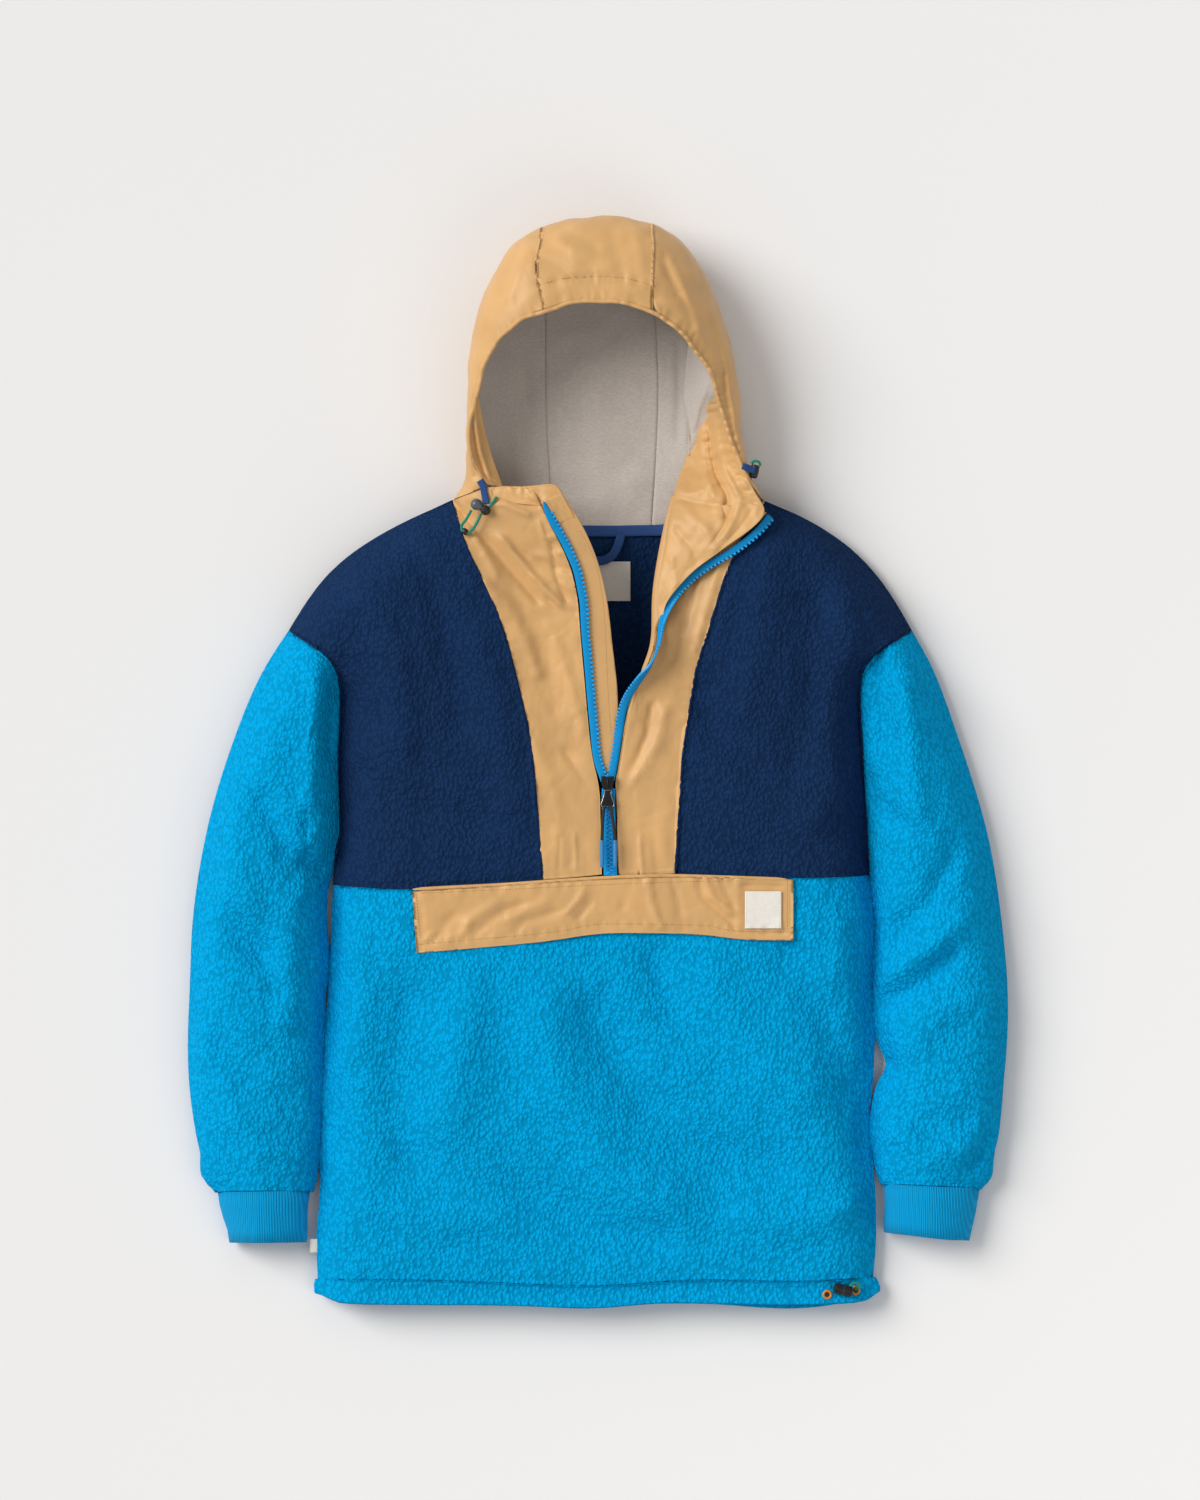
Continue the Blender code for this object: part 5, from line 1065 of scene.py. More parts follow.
# The zip's open rows from the top: x, y, and degrees that the right row's teeth are turned over
ZIP_LEFT = ((-47.7, 232, 0), (-41.4, 217.4, 0), (-34.2, 204.8, 0), (-26.1, 189.5, 0), (-18.5, 171.5, 0),
            (-14.4, 153.5, 0), (-12.2, 140, 0), (-10.8, 115, 0), (-8.1, 86, 0), (-5.5, 55.4, 0), (-3, 29, 0),
            (0, 2.3, 0), (6.4, -18, 0))
ZIP_RIGHT = ((155.7, 219.2, 180), (145.8, 207.5, 180), (132.3, 195.8, 180), (117.9, 185.9, 180),
             (99, 175, 180), (83.7, 163.4, 178), (70.2, 149, 170), (61.8, 135, 150), (57.6, 122, 128),
             (54.9, 104, 104), (49, 87, 76), (39, 73.4, 44), (29.5, 59.9, 28), (23.5, 45.5, 12),
             (20, 25.7, 0), (16.8, 5, 0), (12.6, -18, 0))
CHAIN = ((10.4, -25), (10.4, -45), (12.2, -103.4))
TOOTH = (2.6, 2.5, 2.1)
CHAIN_TOOTH = (3.9, 1.5, 2.3)
SLIDER_PLACE = (9.5, -20.0)
SLIDER_OUTLINE = ((-5.8, 5.9), (-2.2, 6.0), (0.0, 4.4), (2.2, 6.0), (5.8, 5.9), (6.0, 2.0), (4.9, -2.6),
                  (4.2, -5.8), (0.0, -6.0), (-4.2, -5.8), (-4.9, -2.6), (-6.0, 2.0))
PULL_TAB = ((-2.9, -0.4), (2.9, -0.4), (3.0, -4.2), (4.3, -8.5), (5.6, -12.4), (4.9, -14.6), (0, -14.9),
            (-4.9, -14.6), (-5.6, -12.4), (-4.3, -8.5), (-3.0, -4.2))
PULL_LEVEL = 57.6
TAB_START = -26.4
PULL_CORDS = (((8.3, -40.6), (6.4, -42.6), (5.4, -50), (4.8, -60), (4.5, -71.6)),
              ((10.7, -40.6), (12.6, -42.6), (13.6, -50), (15.2, -60), (16.4, -71.6)))

# Fittings of hood and hem: places x, y, z, and distances and radii of round parts
HOOD_CORD_LEFT = ((-104.2, 221.4, 63.2), (-107, 215, 61.6), (-111, 208.5, 60.2), (-115.5, 204.5, 59.2),
                  (-120.5, 205.5, 59.1), (-121.5, 211, 59.2), (-117.5, 216.5, 60.2), (-112.8, 224.8, 61.4))
HOOD_CORD_LEFT_END = ((-96.6, 228, 64.4), (-93, 232.5, 64.2), (-90, 236.8, 63.9))
HOOD_CORD_RIGHT = ((142.2, 266.6, 56), (144.6, 269, 56), (149.1, 268, 55), (150.1, 264.5, 54))
LOCK_LEFT = ((-108.4, 230, 62.8), (-100, 224.6, 65.6))
BALL = ((-4.4, 0.0), (-4.3, 1.3), (-3.9, 2.3), (-2.9, 3.45), (-1.4, 4.25), (0.0, 4.5), (0.5, 4.2),
        (0.9, 4.48), (2.2, 3.95), (3.2, 3.2))
BARREL = ((-1.5, 0.0), (-1.5, 2.8), (-1.2, 3.6), (-0.4, 4.7), (0.6, 4.9), (0.9, 4.3), (1.3, 4.3), (1.6, 4.95),
          (2.5, 4.95), (2.8, 4.3), (3.2, 4.3), (3.5, 4.9), (4.4, 4.9), (4.7, 4.3), (5.1, 4.3), (5.4, 4.9),
          (6.4, 4.9))
BEAD = ((-0.2, 1.0), (0.2, 2.4), (1.4, 3.3), (2.6, 3.5), (3.8, 3.3), (5.0, 2.4), (5.4, 1.0))
LOCK_RIGHT = ((0, 0.0), (0, 2.2), (0.4, 3.2), (1.6, 4.0), (3.4, 4.2), (3.9, 3.8), (4.4, 4.2), (8.6, 4.2),
              (9.1, 3.8), (9.6, 4.15), (11.4, 3.8), (12.2, 2.8), (12.4, 0.0))
LOCK_RIGHT_START = (-4.0, -5.4, 0)         # from the middle of its node
EYELETS = ((207, -480.2), (232.2, -476.6))
HEM_LOCK = ((213.9, -473.7), (227.1, -479.3))
HEM_BOW = ((-1.0, 2.0), (-1.5, 6.4), (3.0, 9.0), (7.5, 6.6))      # along and out from the lock's end
NECK_TAPE = ((-50, 207, 4.9), (-10, 206.5, 4.9), (20, 206.5, 4.9), (48, 207, 5.4), (64, 207.4, 9.0))
HANG_LOOP = ((22, 204, 6.1), (19, 194, 7.5), (14, 185, 9), (6, 180, 9.5), (-4, 180.5, 9.5),
             (-14, 186, 8.5), (-20, 195, 7.2), (-22, 204, 6.1))
# Left, right, bottom and top
LABEL = (-14, 30, 143.5, 179)
LABEL_LEVEL = 4.45
PATCH = (132.8, 165.6, -150.8, -117.4)
PATCH_INSET = 1.5         # its stitches lie this far inside its edge
FLAP_LEVEL = 52.0         # where the flap isn't found
SIDE_TAG = ((-251.6, -436.5, 11.4), (-255, -436.5, 11.9), (-258.2, -436.5, 11.2))
LOOP_LEFT = ((-105.5, 251.5, 61.9), (-102.5, 246.5, 61.9), (-101.2, 240, 62.2), (-100.2, 235, 63.2),
             (-99.6, 230.6, 64.0))
LOOP_RIGHT = ((130.5, 264.5, 65.0), (133.5, 263.4, 64.2), (137.5, 261.8, 62.0), (141.6, 260, 60.2))


# ---------------------------------------------------------------- cloth

FOLD_STRENGTH = 1.65      # on the heights in the fleece's fold tables
FLAP_SINK = 1.7           # the fleece lies this much lower under the pocket flap
LAPEL_SINK = 3.0          # and the right placket under the folded lapel
LAPEL_KEEPS = 0.15        # share of the placket's relief that is left there
LUMP_SIZE = 6.5           # lumps of pile
LUMP_RISE = 0.9
FLEECE_VALLEY = 5.0       # half width of the valleys along seams
NYLON_VALLEY = 2.0
HOOD_MIDDLE = np.array((5.0, 350.0, 20.0))
HOOD_WAVE = 26
HOOD_WAVE_RISE = 1.7
BULGE_FADING = 11         # height over which a bulge fades out
UNDER_PULL = ((10.4, 10), (10.4, -110))
BACK = {"folds": (), "low": 200, "high": 300}      # no folds on the back, which lies on the floor


def below_lapel(spots):
    """How much of the right placket's relief is kept: little under the folded lapel, 1 where it shows."""
    far, _, side = nearest_on(np.array(ZIP_RIGHT)[:9, :2], spots)
    return np.where((side < 0) & (spots[:, 1] > 116), LAPEL_KEEPS,
                    ease(far, 0, 5) * (1 - LAPEL_KEEPS) + LAPEL_KEEPS)


def under_flap(spots):
    """1 where fleece lies under the pocket flap."""
    x, y = spots[:, 0], spots[:, 1]
    return ease(x, -168, -158) * (1 - ease(x, 170, 178)) * ease(y, -166, -154) * (1 - ease(y, -112, -100))


def near_zip(spots):
    """1 where cloth lies under the slider and its pull, 0 away from them."""
    return 1 - ease(nearest_on(UNDER_PULL, spots)[0], 12, 30)


def seam_valley(piece, edges, places, depth, half_width, weight):
    """Sinks the cloth along its sewn edges, and returns the distance of each place from them."""
    far = from_edges(edges, places)
    places -= normals_of(piece.data) * (depth * np.exp(-(far / half_width) ** 2) * weight)[:, None]
    return far


def fleece_relief(piece, edges, folds, low, high, seam=1.5, rough=2.3, seed=0.0):
    """Soft folds, an uneven surface and a valley along each seam on the upper wall, and lumps of pile."""
    places = coordinates(piece.data)
    spots = places[:, :2]
    covered = under_flap(spots)
    rise = (creases(folds, spots) * FOLD_STRENGTH + swell(spots, 46, rough, seed)
            + swell(spots, 15, rough * 0.45, seed + 7))
    rise = rise * (1 - near_zip(spots)) * (1 - covered) - FLAP_SINK * covered
    places[:, 2] += rise * ease(places[:, 2], low, high)
    far = seam_valley(piece, edges, places, seam, FLEECE_VALLEY, ease(places[:, 2], low - 4, high))
    lumps = np.array([noise.noise(Vector(spot / LUMP_SIZE)) for spot in places]) * LUMP_RISE
    lumps *= ease(places[:, 2], 1.5, 6) * ease(far, 0.5, 3)
    places += normals_of(piece.data) * lumps[:, None]
    set_coordinates(piece.data, places)


def nylon_relief(piece, edges, folds, gathers, low, high, rough, seed, showing=None):
    """Crisper creases and gathers of the nylon, on the upper wall, less of them where it is covered."""
    places = coordinates(piece.data)
    spots = places[:, :2]
    weight = ease(places[:, 2], low, high)
    shown = showing(spots) if showing else 1.0
    rise = (creases(folds, spots) + puckers(gathers, spots) + swell(spots, 24, rough, seed)
            + swell(spots, 9, rough * 0.5, seed + 5)) * (1 - near_zip(spots)) * shown
    places[:, 2] += (rise - LAPEL_SINK * (1 - shown)) * weight
    seam_valley(piece, edges, places, 0.5, NYLON_VALLEY, weight)
    set_coordinates(piece.data, places)


def hood_lift(places):
    """How far the hood's cloth moves: creases on top, and slow waves outwards from its middle."""
    spots = places[:, :2]
    rise = (creases(HOOD_FOLDS, spots) + puckers(HOOD_PUCKERS, spots)) * ease(places[:, 2], 38, 60)
    waves = np.array([noise.fractal(Vector(spot / HOOD_WAVE), 1.0, 2.0, 2) for spot in places])
    waves *= HOOD_WAVE_RISE * ease(places[:, 2], 6, 26) * ease(places[:, 1], 246, 268)
    lift = unit(places - HOOD_MIDDLE) * waves[:, None]
    lift[:, 2] += rise
    return lift


def hood_relief(piece, edges, lining=False):
    """Relief of the hood's layers: the nylon has seams, the lining has folds on its floor."""
    places = coordinates(piece.data)
    lift = hood_lift(places)
    if lining:
        spots = places[:, :2]
        floor = 1 - ease(places[:, 2], 30, 48)
        lift[:, 2] += (creases(LINING_FOLDS, spots) + swell(spots, 26, 1.3, 24.0) + 1.6) * floor
    places += lift
    if not lining:
        seam_valley(piece, edges, places, 0.35, NYLON_VALLEY, ease(places[:, 2], 30, 50))
    set_coordinates(piece.data, places)


def swollen(bulges, places):
    """Places pushed sideways where cloth swells."""
    moved = places.copy()
    for (x, y), reach, push, fade in bulges:
        weight = np.exp(-((places[:, 0] - x) ** 2 + (places[:, 1] - y) ** 2) / reach ** 2)
        if fade:
            weight *= 1 - ease(places[:, 2], fade, fade + BULGE_FADING)
        moved[:, :2] += weight[:, None] * push
    return moved


def cloth(name, level, relief, finish, bulges=(), **options):
    """Fine cloth in place of a plain node."""
    piece, edges = finer(name, level)
    if bulges:
        set_coordinates(piece.data, swollen(bulges, coordinates(piece.data)))
        edges = list(swollen(bulges, np.array(edges)))
    EDGES[name] = edges
    relief(piece, edges, **options)
    return dressed(piece, finish, (name,))


# ---------------------------------------------------------------- seams, tapes and small parts

UP = (0.0, 0.0, 1.0)
SEWN_WITHIN = 2.2         # edges nearer than this are sewn together
SEAM_ENDS = 9             # a longer step than this leaves the seam
SEAM_STEP = 2.0           # between the points kept along a seam
ROLL_STEP = 1.6
ROLL_UNEVEN = 0.25        # share of a seam roll's radius
TAPE_THICKNESS = 0.9
ROUND = 32                # sides of round parts
NO_HOLE = 0.02            # least radius at the ends of round parts


def shared_seam(first, second, low, start):
    """Points along the seam of two pieces on their upper wall, in order from the one nearest start."""
    tree = near_tree(EDGES[second])
    rest = [spot for spot in EDGES[first] if spot[2] > low and tree.find(spot)[2] < SEWN_WITHIN]
    now = np.array(start)
    chain = []
    while rest:
        gaps = np.linalg.norm(np.array(rest)[:, :2] - now[:2], axis=1)
        nearest = int(gaps.argmin())
        if chain and gaps[nearest] > SEAM_ENDS:
            break
        now = rest.pop(nearest)
        if not chain or gaps[nearest] > SEAM_STEP:
            chain.append(now)
    return np.array(chain)


def seam_roll(name, first, second, low, start, radius, sink, finish):
    """Thin uneven roll that fills a seam: pile on the fleece, and on the hood a dark brown roll that paints the
    shade in the seam's groove.
    """
    middle = run_through(shared_seam(first, second, low, start), ROLL_STEP)[2:-2]
    for _ in range(3):
        middle[1:-1] = (middle[:-2] + middle[1:-1] * 2 + middle[2:]) / 4
    tree = tree_of(bpy.data.objects["fine_" + first], bpy.data.objects["fine_" + second])
    levels = []
    for x, y, z in middle:
        around = [top_at(tree, x + dx, y + dy) for dx, dy in ((1.2, 0), (-1.2, 0), (0, 1.2), (0, -1.2))]
        around = [hit[0] for hit in around if hit and abs(hit[0] - z) < 12]
        levels.append(float(np.mean(around)) if around else (levels[-1] if levels else z))
    middle[:, 2] = evened(levels, 2) - sink
    rough = np.array([noise.noise(Vector(spot / 2.4)) for spot in middle])
    size = radius * (1 + ROLL_UNEVEN * rough)
    roll(name, middle, size, size, finish, sides=8, taper=3)


def swept(line, across, up, rim):
    """Grid of places of a rim carried along a line."""
    return np.array([[spot + side * x + top * z for x, z in rim] for spot, side, top in zip(line, across, up)])


def ribbon(name, points, width, finish, nodes, step=1.2):
    """Flat tape along points, with rounded edges."""
    line = run_through(points, step)
    ahead = headings(line)
    across = unit(np.cross(ahead, UP))
    half, edge, inset = width / 2, TAPE_THICKNESS / 2, 0.25
    rim = ((-half, 0), (inset - half, edge), (-half / 2, edge), (0, edge), (half / 2, edge),
           (half - inset, edge), (half, 0), (half - inset, -edge), (0, -edge), (inset - half, -edge))
    mesh = capped(name, swept(line, across, np.cross(across, ahead), rim))
    return dressed(linked(name, mesh), finish, nodes)


def roll(name, line, width, height, finish, sides=12, taper=6):
    """Soft round edge along a line; width and height are half measures, and both ends taper."""
    ahead = headings(line)
    across = unit(np.cross(ahead, UP))
    up = np.cross(across, ahead)
    from_end = np.minimum(np.arange(len(line)), np.arange(len(line))[::-1])
    ends = np.minimum(1, (from_end + 0.25) / taper) ** 0.5
    turns = np.linspace(0, 2 * math.pi, sides, endpoint=False)
    grid = swept(line, across * (width * ends)[:, None], up * (height * ends)[:, None],
                 np.column_stack([np.cos(turns), np.sin(turns)]))
    return dressed(linked(name, capped(name, grid)), finish)


def turned(name, start, ahead, stations, finish, nodes=(), body=BODY):
    """Round part from distances and radii along an axis."""
    ahead = unit(ahead)
    side = unit(np.cross(ahead, UP))
    up = np.cross(side, ahead)
    turns = np.linspace(0, 2 * math.pi, ROUND, endpoint=False)[:, None]
    rim = np.cos(turns) * side + np.sin(turns) * up
    mesh = capped(name, np.array([np.array(start) + ahead * far + rim * max(radius, NO_HOLE)
                                  for far, radius in stations]))
    mesh.set_sharp_from_angle(angle=math.radians(40))
    return dressed(linked(name, mesh), finish, nodes, body)


def ring(name, centre, up, radius, section, finish, nodes):
    """Torus lying across a direction."""
    up = unit(up)
    side = unit(np.cross(up, (0.0, 1.0, 0.0)))
    other = np.cross(up, side)
    grid = []
    for a in np.linspace(0, 2 * math.pi, 40, endpoint=False):
        out = math.cos(a) * side + math.sin(a) * other
        grid.append([np.array(centre) + out * (radius + section * math.cos(b)) + up * section * math.sin(b)
                     for b in np.linspace(0, 2 * math.pi, 14, endpoint=False)])
    grid.append(grid[0])
    mesh = reworked(grid_mesh(name, np.array(grid), closed=True),
                    lambda build: bmesh.ops.remove_doubles(build, verts=build.verts, dist=1e-7))
    return dressed(linked(name, mesh), finish, nodes)


def plate(name, outline, level, thick, bevel, finish, nodes=(), body=BODY):
    """Flat part of an outline with rounded edges."""
    build = bmesh.new()
    face = build.faces.new([build.verts.new(Vector((x, y, level - thick / 2)) * MM) for x, y in outline])
    for item in bmesh.ops.extrude_face_region(build, geom=[face])["geom"]:
        if isinstance(item, bmesh.types.BMVert):
            item.co.z += thick * MM
    bmesh.ops.recalc_face_normals(build, faces=build.faces)
    bmesh.ops.bevel(build, geom=build.edges, offset=bevel * MM, segments=3, affect="EDGES", profile=0.5)
    mesh = bpy.data.meshes.new(name)
    build.to_mesh(mesh)
    build.free()
    mesh.shade_smooth()
    mesh.set_sharp_from_angle(angle=math.radians(35))
    return dressed(linked(name, mesh), finish, nodes, body)


def thickened(piece, thick):
    """Gives a sheet its thickness, under its face."""
    thickness = piece.modifiers.new("Thickness", "SOLIDIFY")
    thickness.thickness = thick * MM
    thickness.offset = -1


def facing_surface(name, table, folds, gathers, count):
    """One creased sheet between two borders."""
    table = np.array(table)
    across = np.linspace(0, 1, count)
    grid = []
    for left_x, left_y, left_z, right_x, right_y, right_z, power in run_through(table, 4.4):
        grid.append(np.column_stack([left_x + (right_x - left_x) * across,
                                     left_y + (right_y - left_y) * across,
                                     left_z + (right_z - left_z) * across ** max(power, 0.3)]))
    grid = np.array(grid)
    places = grid.reshape(-1, 3)
    spots = places[:, :2]
    rise = (creases(folds, spots) + puckers(gathers, spots) + swell(spots, 20, 1.2, 4.0)
            + swell(spots, 8, 0.6, 9.0))
    places[:, 2] += rise * ease(nearest_on(table[:, 3:5], spots)[0], 0.3, 5)
    piece = linked(name, grid_mesh(name, grid))
    thickened(piece, 0.9)
    smooth = piece.modifiers.new("Smooth", "SUBSURF")
    smooth.levels = 1
    return baked(piece)


def cloth_rectangle(name, sides, level, thick, step=1.5):
    """Small woven rectangle with a soft rounded edge; its sides are left, right, bottom and top."""
    left, right, bottom, top = sides
    across = np.linspace(left, right, max(4, int((right - left) / step)))
    along = np.linspace(top, bottom, max(4, int((top - bottom) / step)))
    piece = linked(name, grid_mesh(name, np.array([[(x, y, level(x, y)) for x in across] for y in along])))
    thickened(piece, thick)
    rounding = piece.modifiers.new("Edges", "BEVEL")
    rounding.width = thick * 0.35 * MM
    rounding.segments = 2
    return baked(piece)


def woven_patch(flap):
    """Plain cream patch with a turned edge and a row of stitches round it."""
    tree = tree_of(flap)

    def level(x, y):
        hit = top_at(tree, x, y)
        return (hit[0] if hit else FLAP_LEVEL) + 0.95

    patch = cloth_rectangle("plain_patch", PATCH, level, 0.8)
    dressed(patch, "cream", ("flap_patch",))
    left, right, bottom, top = np.array(PATCH) + PATCH_INSET * np.array((1, -1, 1, -1))
    border = [(left, top), (right, top), (right, bottom), (left, bottom), (left, top)]
    sew("sewing_patch", [np.array(pair) for pair in zip(border, border[1:])], patch, "cream_thread", 0.2)


# ---------------------------------------------------------------- zip

ROW_STEP = 0.5            # between the places worked out along the zip
TOOTH_REACH = 3.3         # from the middle of an open tape to the middle of its teeth
CHAIN_SHIFT = 1.35        # from the middle of the closed chain to the middle of its teeth
CHAIN_PITCH = 1.9
CHAIN_SLANT = math.radians(16)
OPEN_TAPE = ((-3.3, 0), (-3.2, 0.6), (-2.6, 0.95), (-1.0, 1.1), (1.9, 1.1), (2.8, 0.7), (2.8, -0.6),
             (1.9, -0.9), (-1.0, -0.8), (-3.2, -0.4))
CLOSED_TAPE = ((-6.1, 0), (-5.9, 0.3), (-2.4, 0.35), (0, 0.4), (2.4, 0.35), (5.9, 0.3), (6.1, 0),
               (5.9, -0.3), (0, -0.4), (-5.9, -0.3))
PULL_END = ((0.0, 1.35), (0.2, 1.8), (0.9, 2.05), (1.6, 2.05), (1.8, 1.8), (2.3, 1.8), (2.5, 2.1),
            (12.0, 2.0), (21.0, 1.85), (24.0, 1.6), (24.6, 1.1), (24.75, 0.4))


def laid(line, levels):
    """Places of a line at those heights, its directions, and the level directions across it."""
    spots = np.column_stack([line[:, :2], levels])
    ahead = headings(spots)
    return spots, ahead, unit(np.column_stack([-ahead[:, 1], ahead[:, 0], np.zeros(len(ahead))]))


def zip_row(side, line, tree):
    """Frames of the tape and teeth of one open row: middle, along, teeth's way, up."""
    fine = run_through(line, ROW_STEP)
    levels = []
    for x, y, _ in fine:
        hit = top_at(tree, x, y)
        levels.append(hit[0] if hit else (levels[-1] if levels else 60.0))
    spots, ahead, flat = laid(fine, evened(levels, 10) - 1.15)
    angle = np.radians(fine[:, 2])[:, None]
    towards = flat if side == "left" else -flat * np.cos(angle) + np.array(UP) * np.sin(angle)
    towards = unit(towards - ahead * (towards * ahead).sum(1)[:, None])
    up = np.cross(ahead, towards)
    up *= np.sign(up[:, 2:3] + 1e-9) if side == "left" else 1.0
    return spots, ahead, towards, up


def open_row(side, line, first, pitch):
    """Teeth and tape of one open row; the left one narrows at its top."""
    node = "zip_tape_" + side
    spots, ahead, towards, up = zip_row(side, line, tree_of(frame["nodes"][node]))
    picks = range(first, len(spots) - 4, max(1, int(round(pitch / ROW_STEP))))
    frames = [(spots[k] + towards[k] * TOOTH_REACH, towards[k], ahead[k], up[k]) for k in picks]
    name = "teeth_" + side
    dressed(linked(name, copies(name, rounded_box(TOOTH, 0.45), frames)), "teeth")
    if side == "left":
        towards = towards * np.minimum(1, 0.3 + np.arange(len(spots)) / 30)[:, None]
    name = "tape_" + side
    grid = swept(spots[::2], towards[::2], up[::2], OPEN_TAPE)
    dressed(linked(name, grid_mesh(name, grid, closed=True)), "zip_tape", (node,))


def closed_chain():
    """Teeth and tape below the slider."""
    nodes = frame["nodes"]
    tree = tree_of(nodes["zip_tape_left"], nodes["zip_tape_right"])
    fine = run_through(CHAIN, ROW_STEP)
    levels = [(top_at(tree, x - 3.0, y) or (56.0,))[0] for x, y in fine]
    spots, ahead, across = laid(fine, evened(levels, 12) - 1.0)
    up = np.cross(ahead, across)
    up *= np.sign(up[:, 2:3])
    frames = []
    for k in range(int(length_of(spots) / CHAIN_PITCH)):
        i = min(len(spots) - 1, int(round(k * CHAIN_PITCH / ROW_STEP)))
        sign = 1 if k % 2 else -1
        slant = across[i] * math.cos(CHAIN_SLANT) + ahead[i] * sign * math.sin(CHAIN_SLANT)
        place = spots[i] + across[i] * sign * CHAIN_SHIFT + up[i] * 0.3
        frames.append((place, slant, np.cross(up[i], slant), up[i]))
    dressed(linked("zip_chain", copies("zip_chain", rounded_box(CHAIN_TOOTH, 0.4), frames)), "teeth")
    grid = swept(spots[::2], across[::2], up[::2], CLOSED_TAPE)
    dressed(linked("tape_closed", grid_mesh("tape_closed", grid, closed=True)), "zip_tape")


def zip_slider():
    """Slider: two winged plates on a bridge, with the arch that holds the pull."""
    x, y = SLIDER_PLACE
    outline = [(x + px, y + py) for px, py in SLIDER_OUTLINE]
    low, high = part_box("zip_slider")
    top, bottom = high[2] / MM, low[2] / MM
    plate("slider_top", outline, top - 0.75, 1.3, 0.4, "metal", ("zip_slider",))
    plate("slider_bottom", outline, bottom + 0.6, 1.1, 0.35, "metal")
    bridge = [(x - 1.2, y + 5.0), (x + 1.2, y + 5.0), (x + 0.9, y + 1.0), (x - 0.9, y + 1.0)]
    plate("slider_bridge", bridge, (top + bottom) / 2, top - bottom - 2.0, 0.2, "metal")
    arch = ((3.6, -0.8), (3.0, 0.2), (1.0, 0.75), (-2.5, 0.75), (-4.8, 0.2), (-5.2, -0.8))
    tube("slider_arch", [(x, y + along, top + rise) for along, rise in arch], 1.6, "metal", step=0.6)


def tab_outline(wider, rise=None):
    """Outline of the pull's tab, closed and at a height above its level, or plain and open."""
    outline = [(SLIDER_PLACE[0] + x * wider, TAB_START + y) for x, y in PULL_TAB]
    if rise is None:
        return outline
    return [(x, y, PULL_LEVEL + rise) for x, y in outline + outline[:1]]


def zip_pull():
    """Hourglass frame, two cords and their moulded ends, all on the pull."""
    tube("pull_frame", tab_outline(1, 0), 1.9, "metal", ("zip_pull_tab",), PULL, step=0.6, caps=False)
    # Steel rim just outside the frame: painted highlight along the pull's edge
    tube("pull_edge_highlight", tab_outline(1.02, 0.75), 0.7, "steel", (), PULL, step=0.6, caps=False)
    plate("pull_web", tab_outline(0.9), PULL_LEVEL + 0.35, 1.5, 0.3, "metal", body=PULL)
    for side, points in zip(("left", "right"), PULL_CORDS):
        route = [(x, y, PULL_LEVEL + 0.9) for x, y in points]
        tube("pull_strand_" + side, route, 3.0, "black_cord", ("pull_cord_" + side,), PULL)
        turned("pull_end_" + side, route[-1], (0, -1, 0), PULL_END, "tip", ("pull_tip_" + side,), PULL)


# ---------------------------------------------------------------- cord locks and eyelets

def hood_fittings():
    """Locks of the hood's cord, and the tapes that hold them."""
    start, end = np.array(LOCK_LEFT)
    run = float(np.linalg.norm(end - start))
    cap = [(far * 1.16, radius * 1.16) for far, radius in BALL]
    turned("lock_left", start, end - start, cap + [(run * 0.58, 2.5)], "grey", ("cord_lock_left",))
    plunger = [(run * 0.45, 2.5)] + [(run - far, radius) for far, radius in BALL[::-1]]
    turned("lock_left_plunger", start, end - start, plunger, "black")
    for side, points in (("left", LOOP_LEFT), ("right", LOOP_RIGHT)):
        ribbon("lock_strap_" + side, points, 6.0, "royal", ("lock_loop_" + side,), step=0.8)
    centre = np.mean(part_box("cord_lock_right"), axis=0) / MM
    turned("lock_right", centre + LOCK_RIGHT_START, (0.25, 1, 0), LOCK_RIGHT, "black", ("cord_lock_right",))


def hem_fittings():
    """Eyelets of the hem, the lock of its cord, and the loop between them."""
    tree = tree_of(bpy.data.objects["fine_hem_front"])

    def above(place, rise):
        level, up = top_at(tree, *place)
        return np.array((*place, level)) + up * rise, up

    for number, place in enumerate(EYELETS, start=1):
        spot, up = above(place, 0.7)
        ring(f"eyelet_{number}", spot, up, 3.3, 1.15, "amber", (f"hem_eyelet_{number}",))
        # Black disc filling each eyelet's hole: painted shade in the hole
        hole = ((0, 0.0), (0, 2.5), (0.5, 2.5), (0.6, 0.0))
        turned(f"eyelet_shade_{number}", spot - up * 0.9, up, hole, "black")
    start, end = (above(place, 4.6)[0] for place in HEM_LOCK)
    run = float(np.linalg.norm(end - start))
    barrel = BARREL + tuple((run - far, radius) for far, radius in BARREL[::-1])
    turned("hem_lock", start, end - start, barrel, "black", ("hem_cord_lock",))
    ahead = (end - start) / run
    side = np.array((-ahead[1], ahead[0], 0.0))
    eyelet = above(EYELETS[1], 0.9)[0]
    bow = [end + ahead * along + side * out for along, out in HEM_BOW]
    tube("hem_cord_loop", bow + [eyelet + (1.2, 2.2, 1.0), eyelet], 2.4, "green", ("hem_cord",), step=0.8)


# ---------------------------------------------------------------- operators

STAGE_CENTRE = (2.7, 9.45, 0)
SENSOR = 36
KEY_COLOUR = (1.0, 0.985, 0.965)
SKY_COLOUR = (1.0, 0.99, 0.975, 1)
KEY_WAY = (-0.89, 0.456)          # level direction of the soft light
FLOOR_DROP = 0.0006               # keeps the floor just under the garment


def lamp(name, kind, place, aim, **settings):
    """Light at a place in metres, turned towards another."""
    light = bpy.data.lights.new(name, kind)
    for setting, value in settings.items():
        setattr(light, setting, value)
    piece = linked(name, light)
    piece.location = place
    piece.rotation_euler = (Vector(place) - Vector(aim)).to_track_quat("Z", "Y").to_euler()


class GarmentOperator:
    """Shared by the operators of the garment's pieces."""

    bl_options = {"REGISTER", "UNDO"}

    def execute(self, context):
        self.make(context.scene.garment)
        return {"FINISHED"}


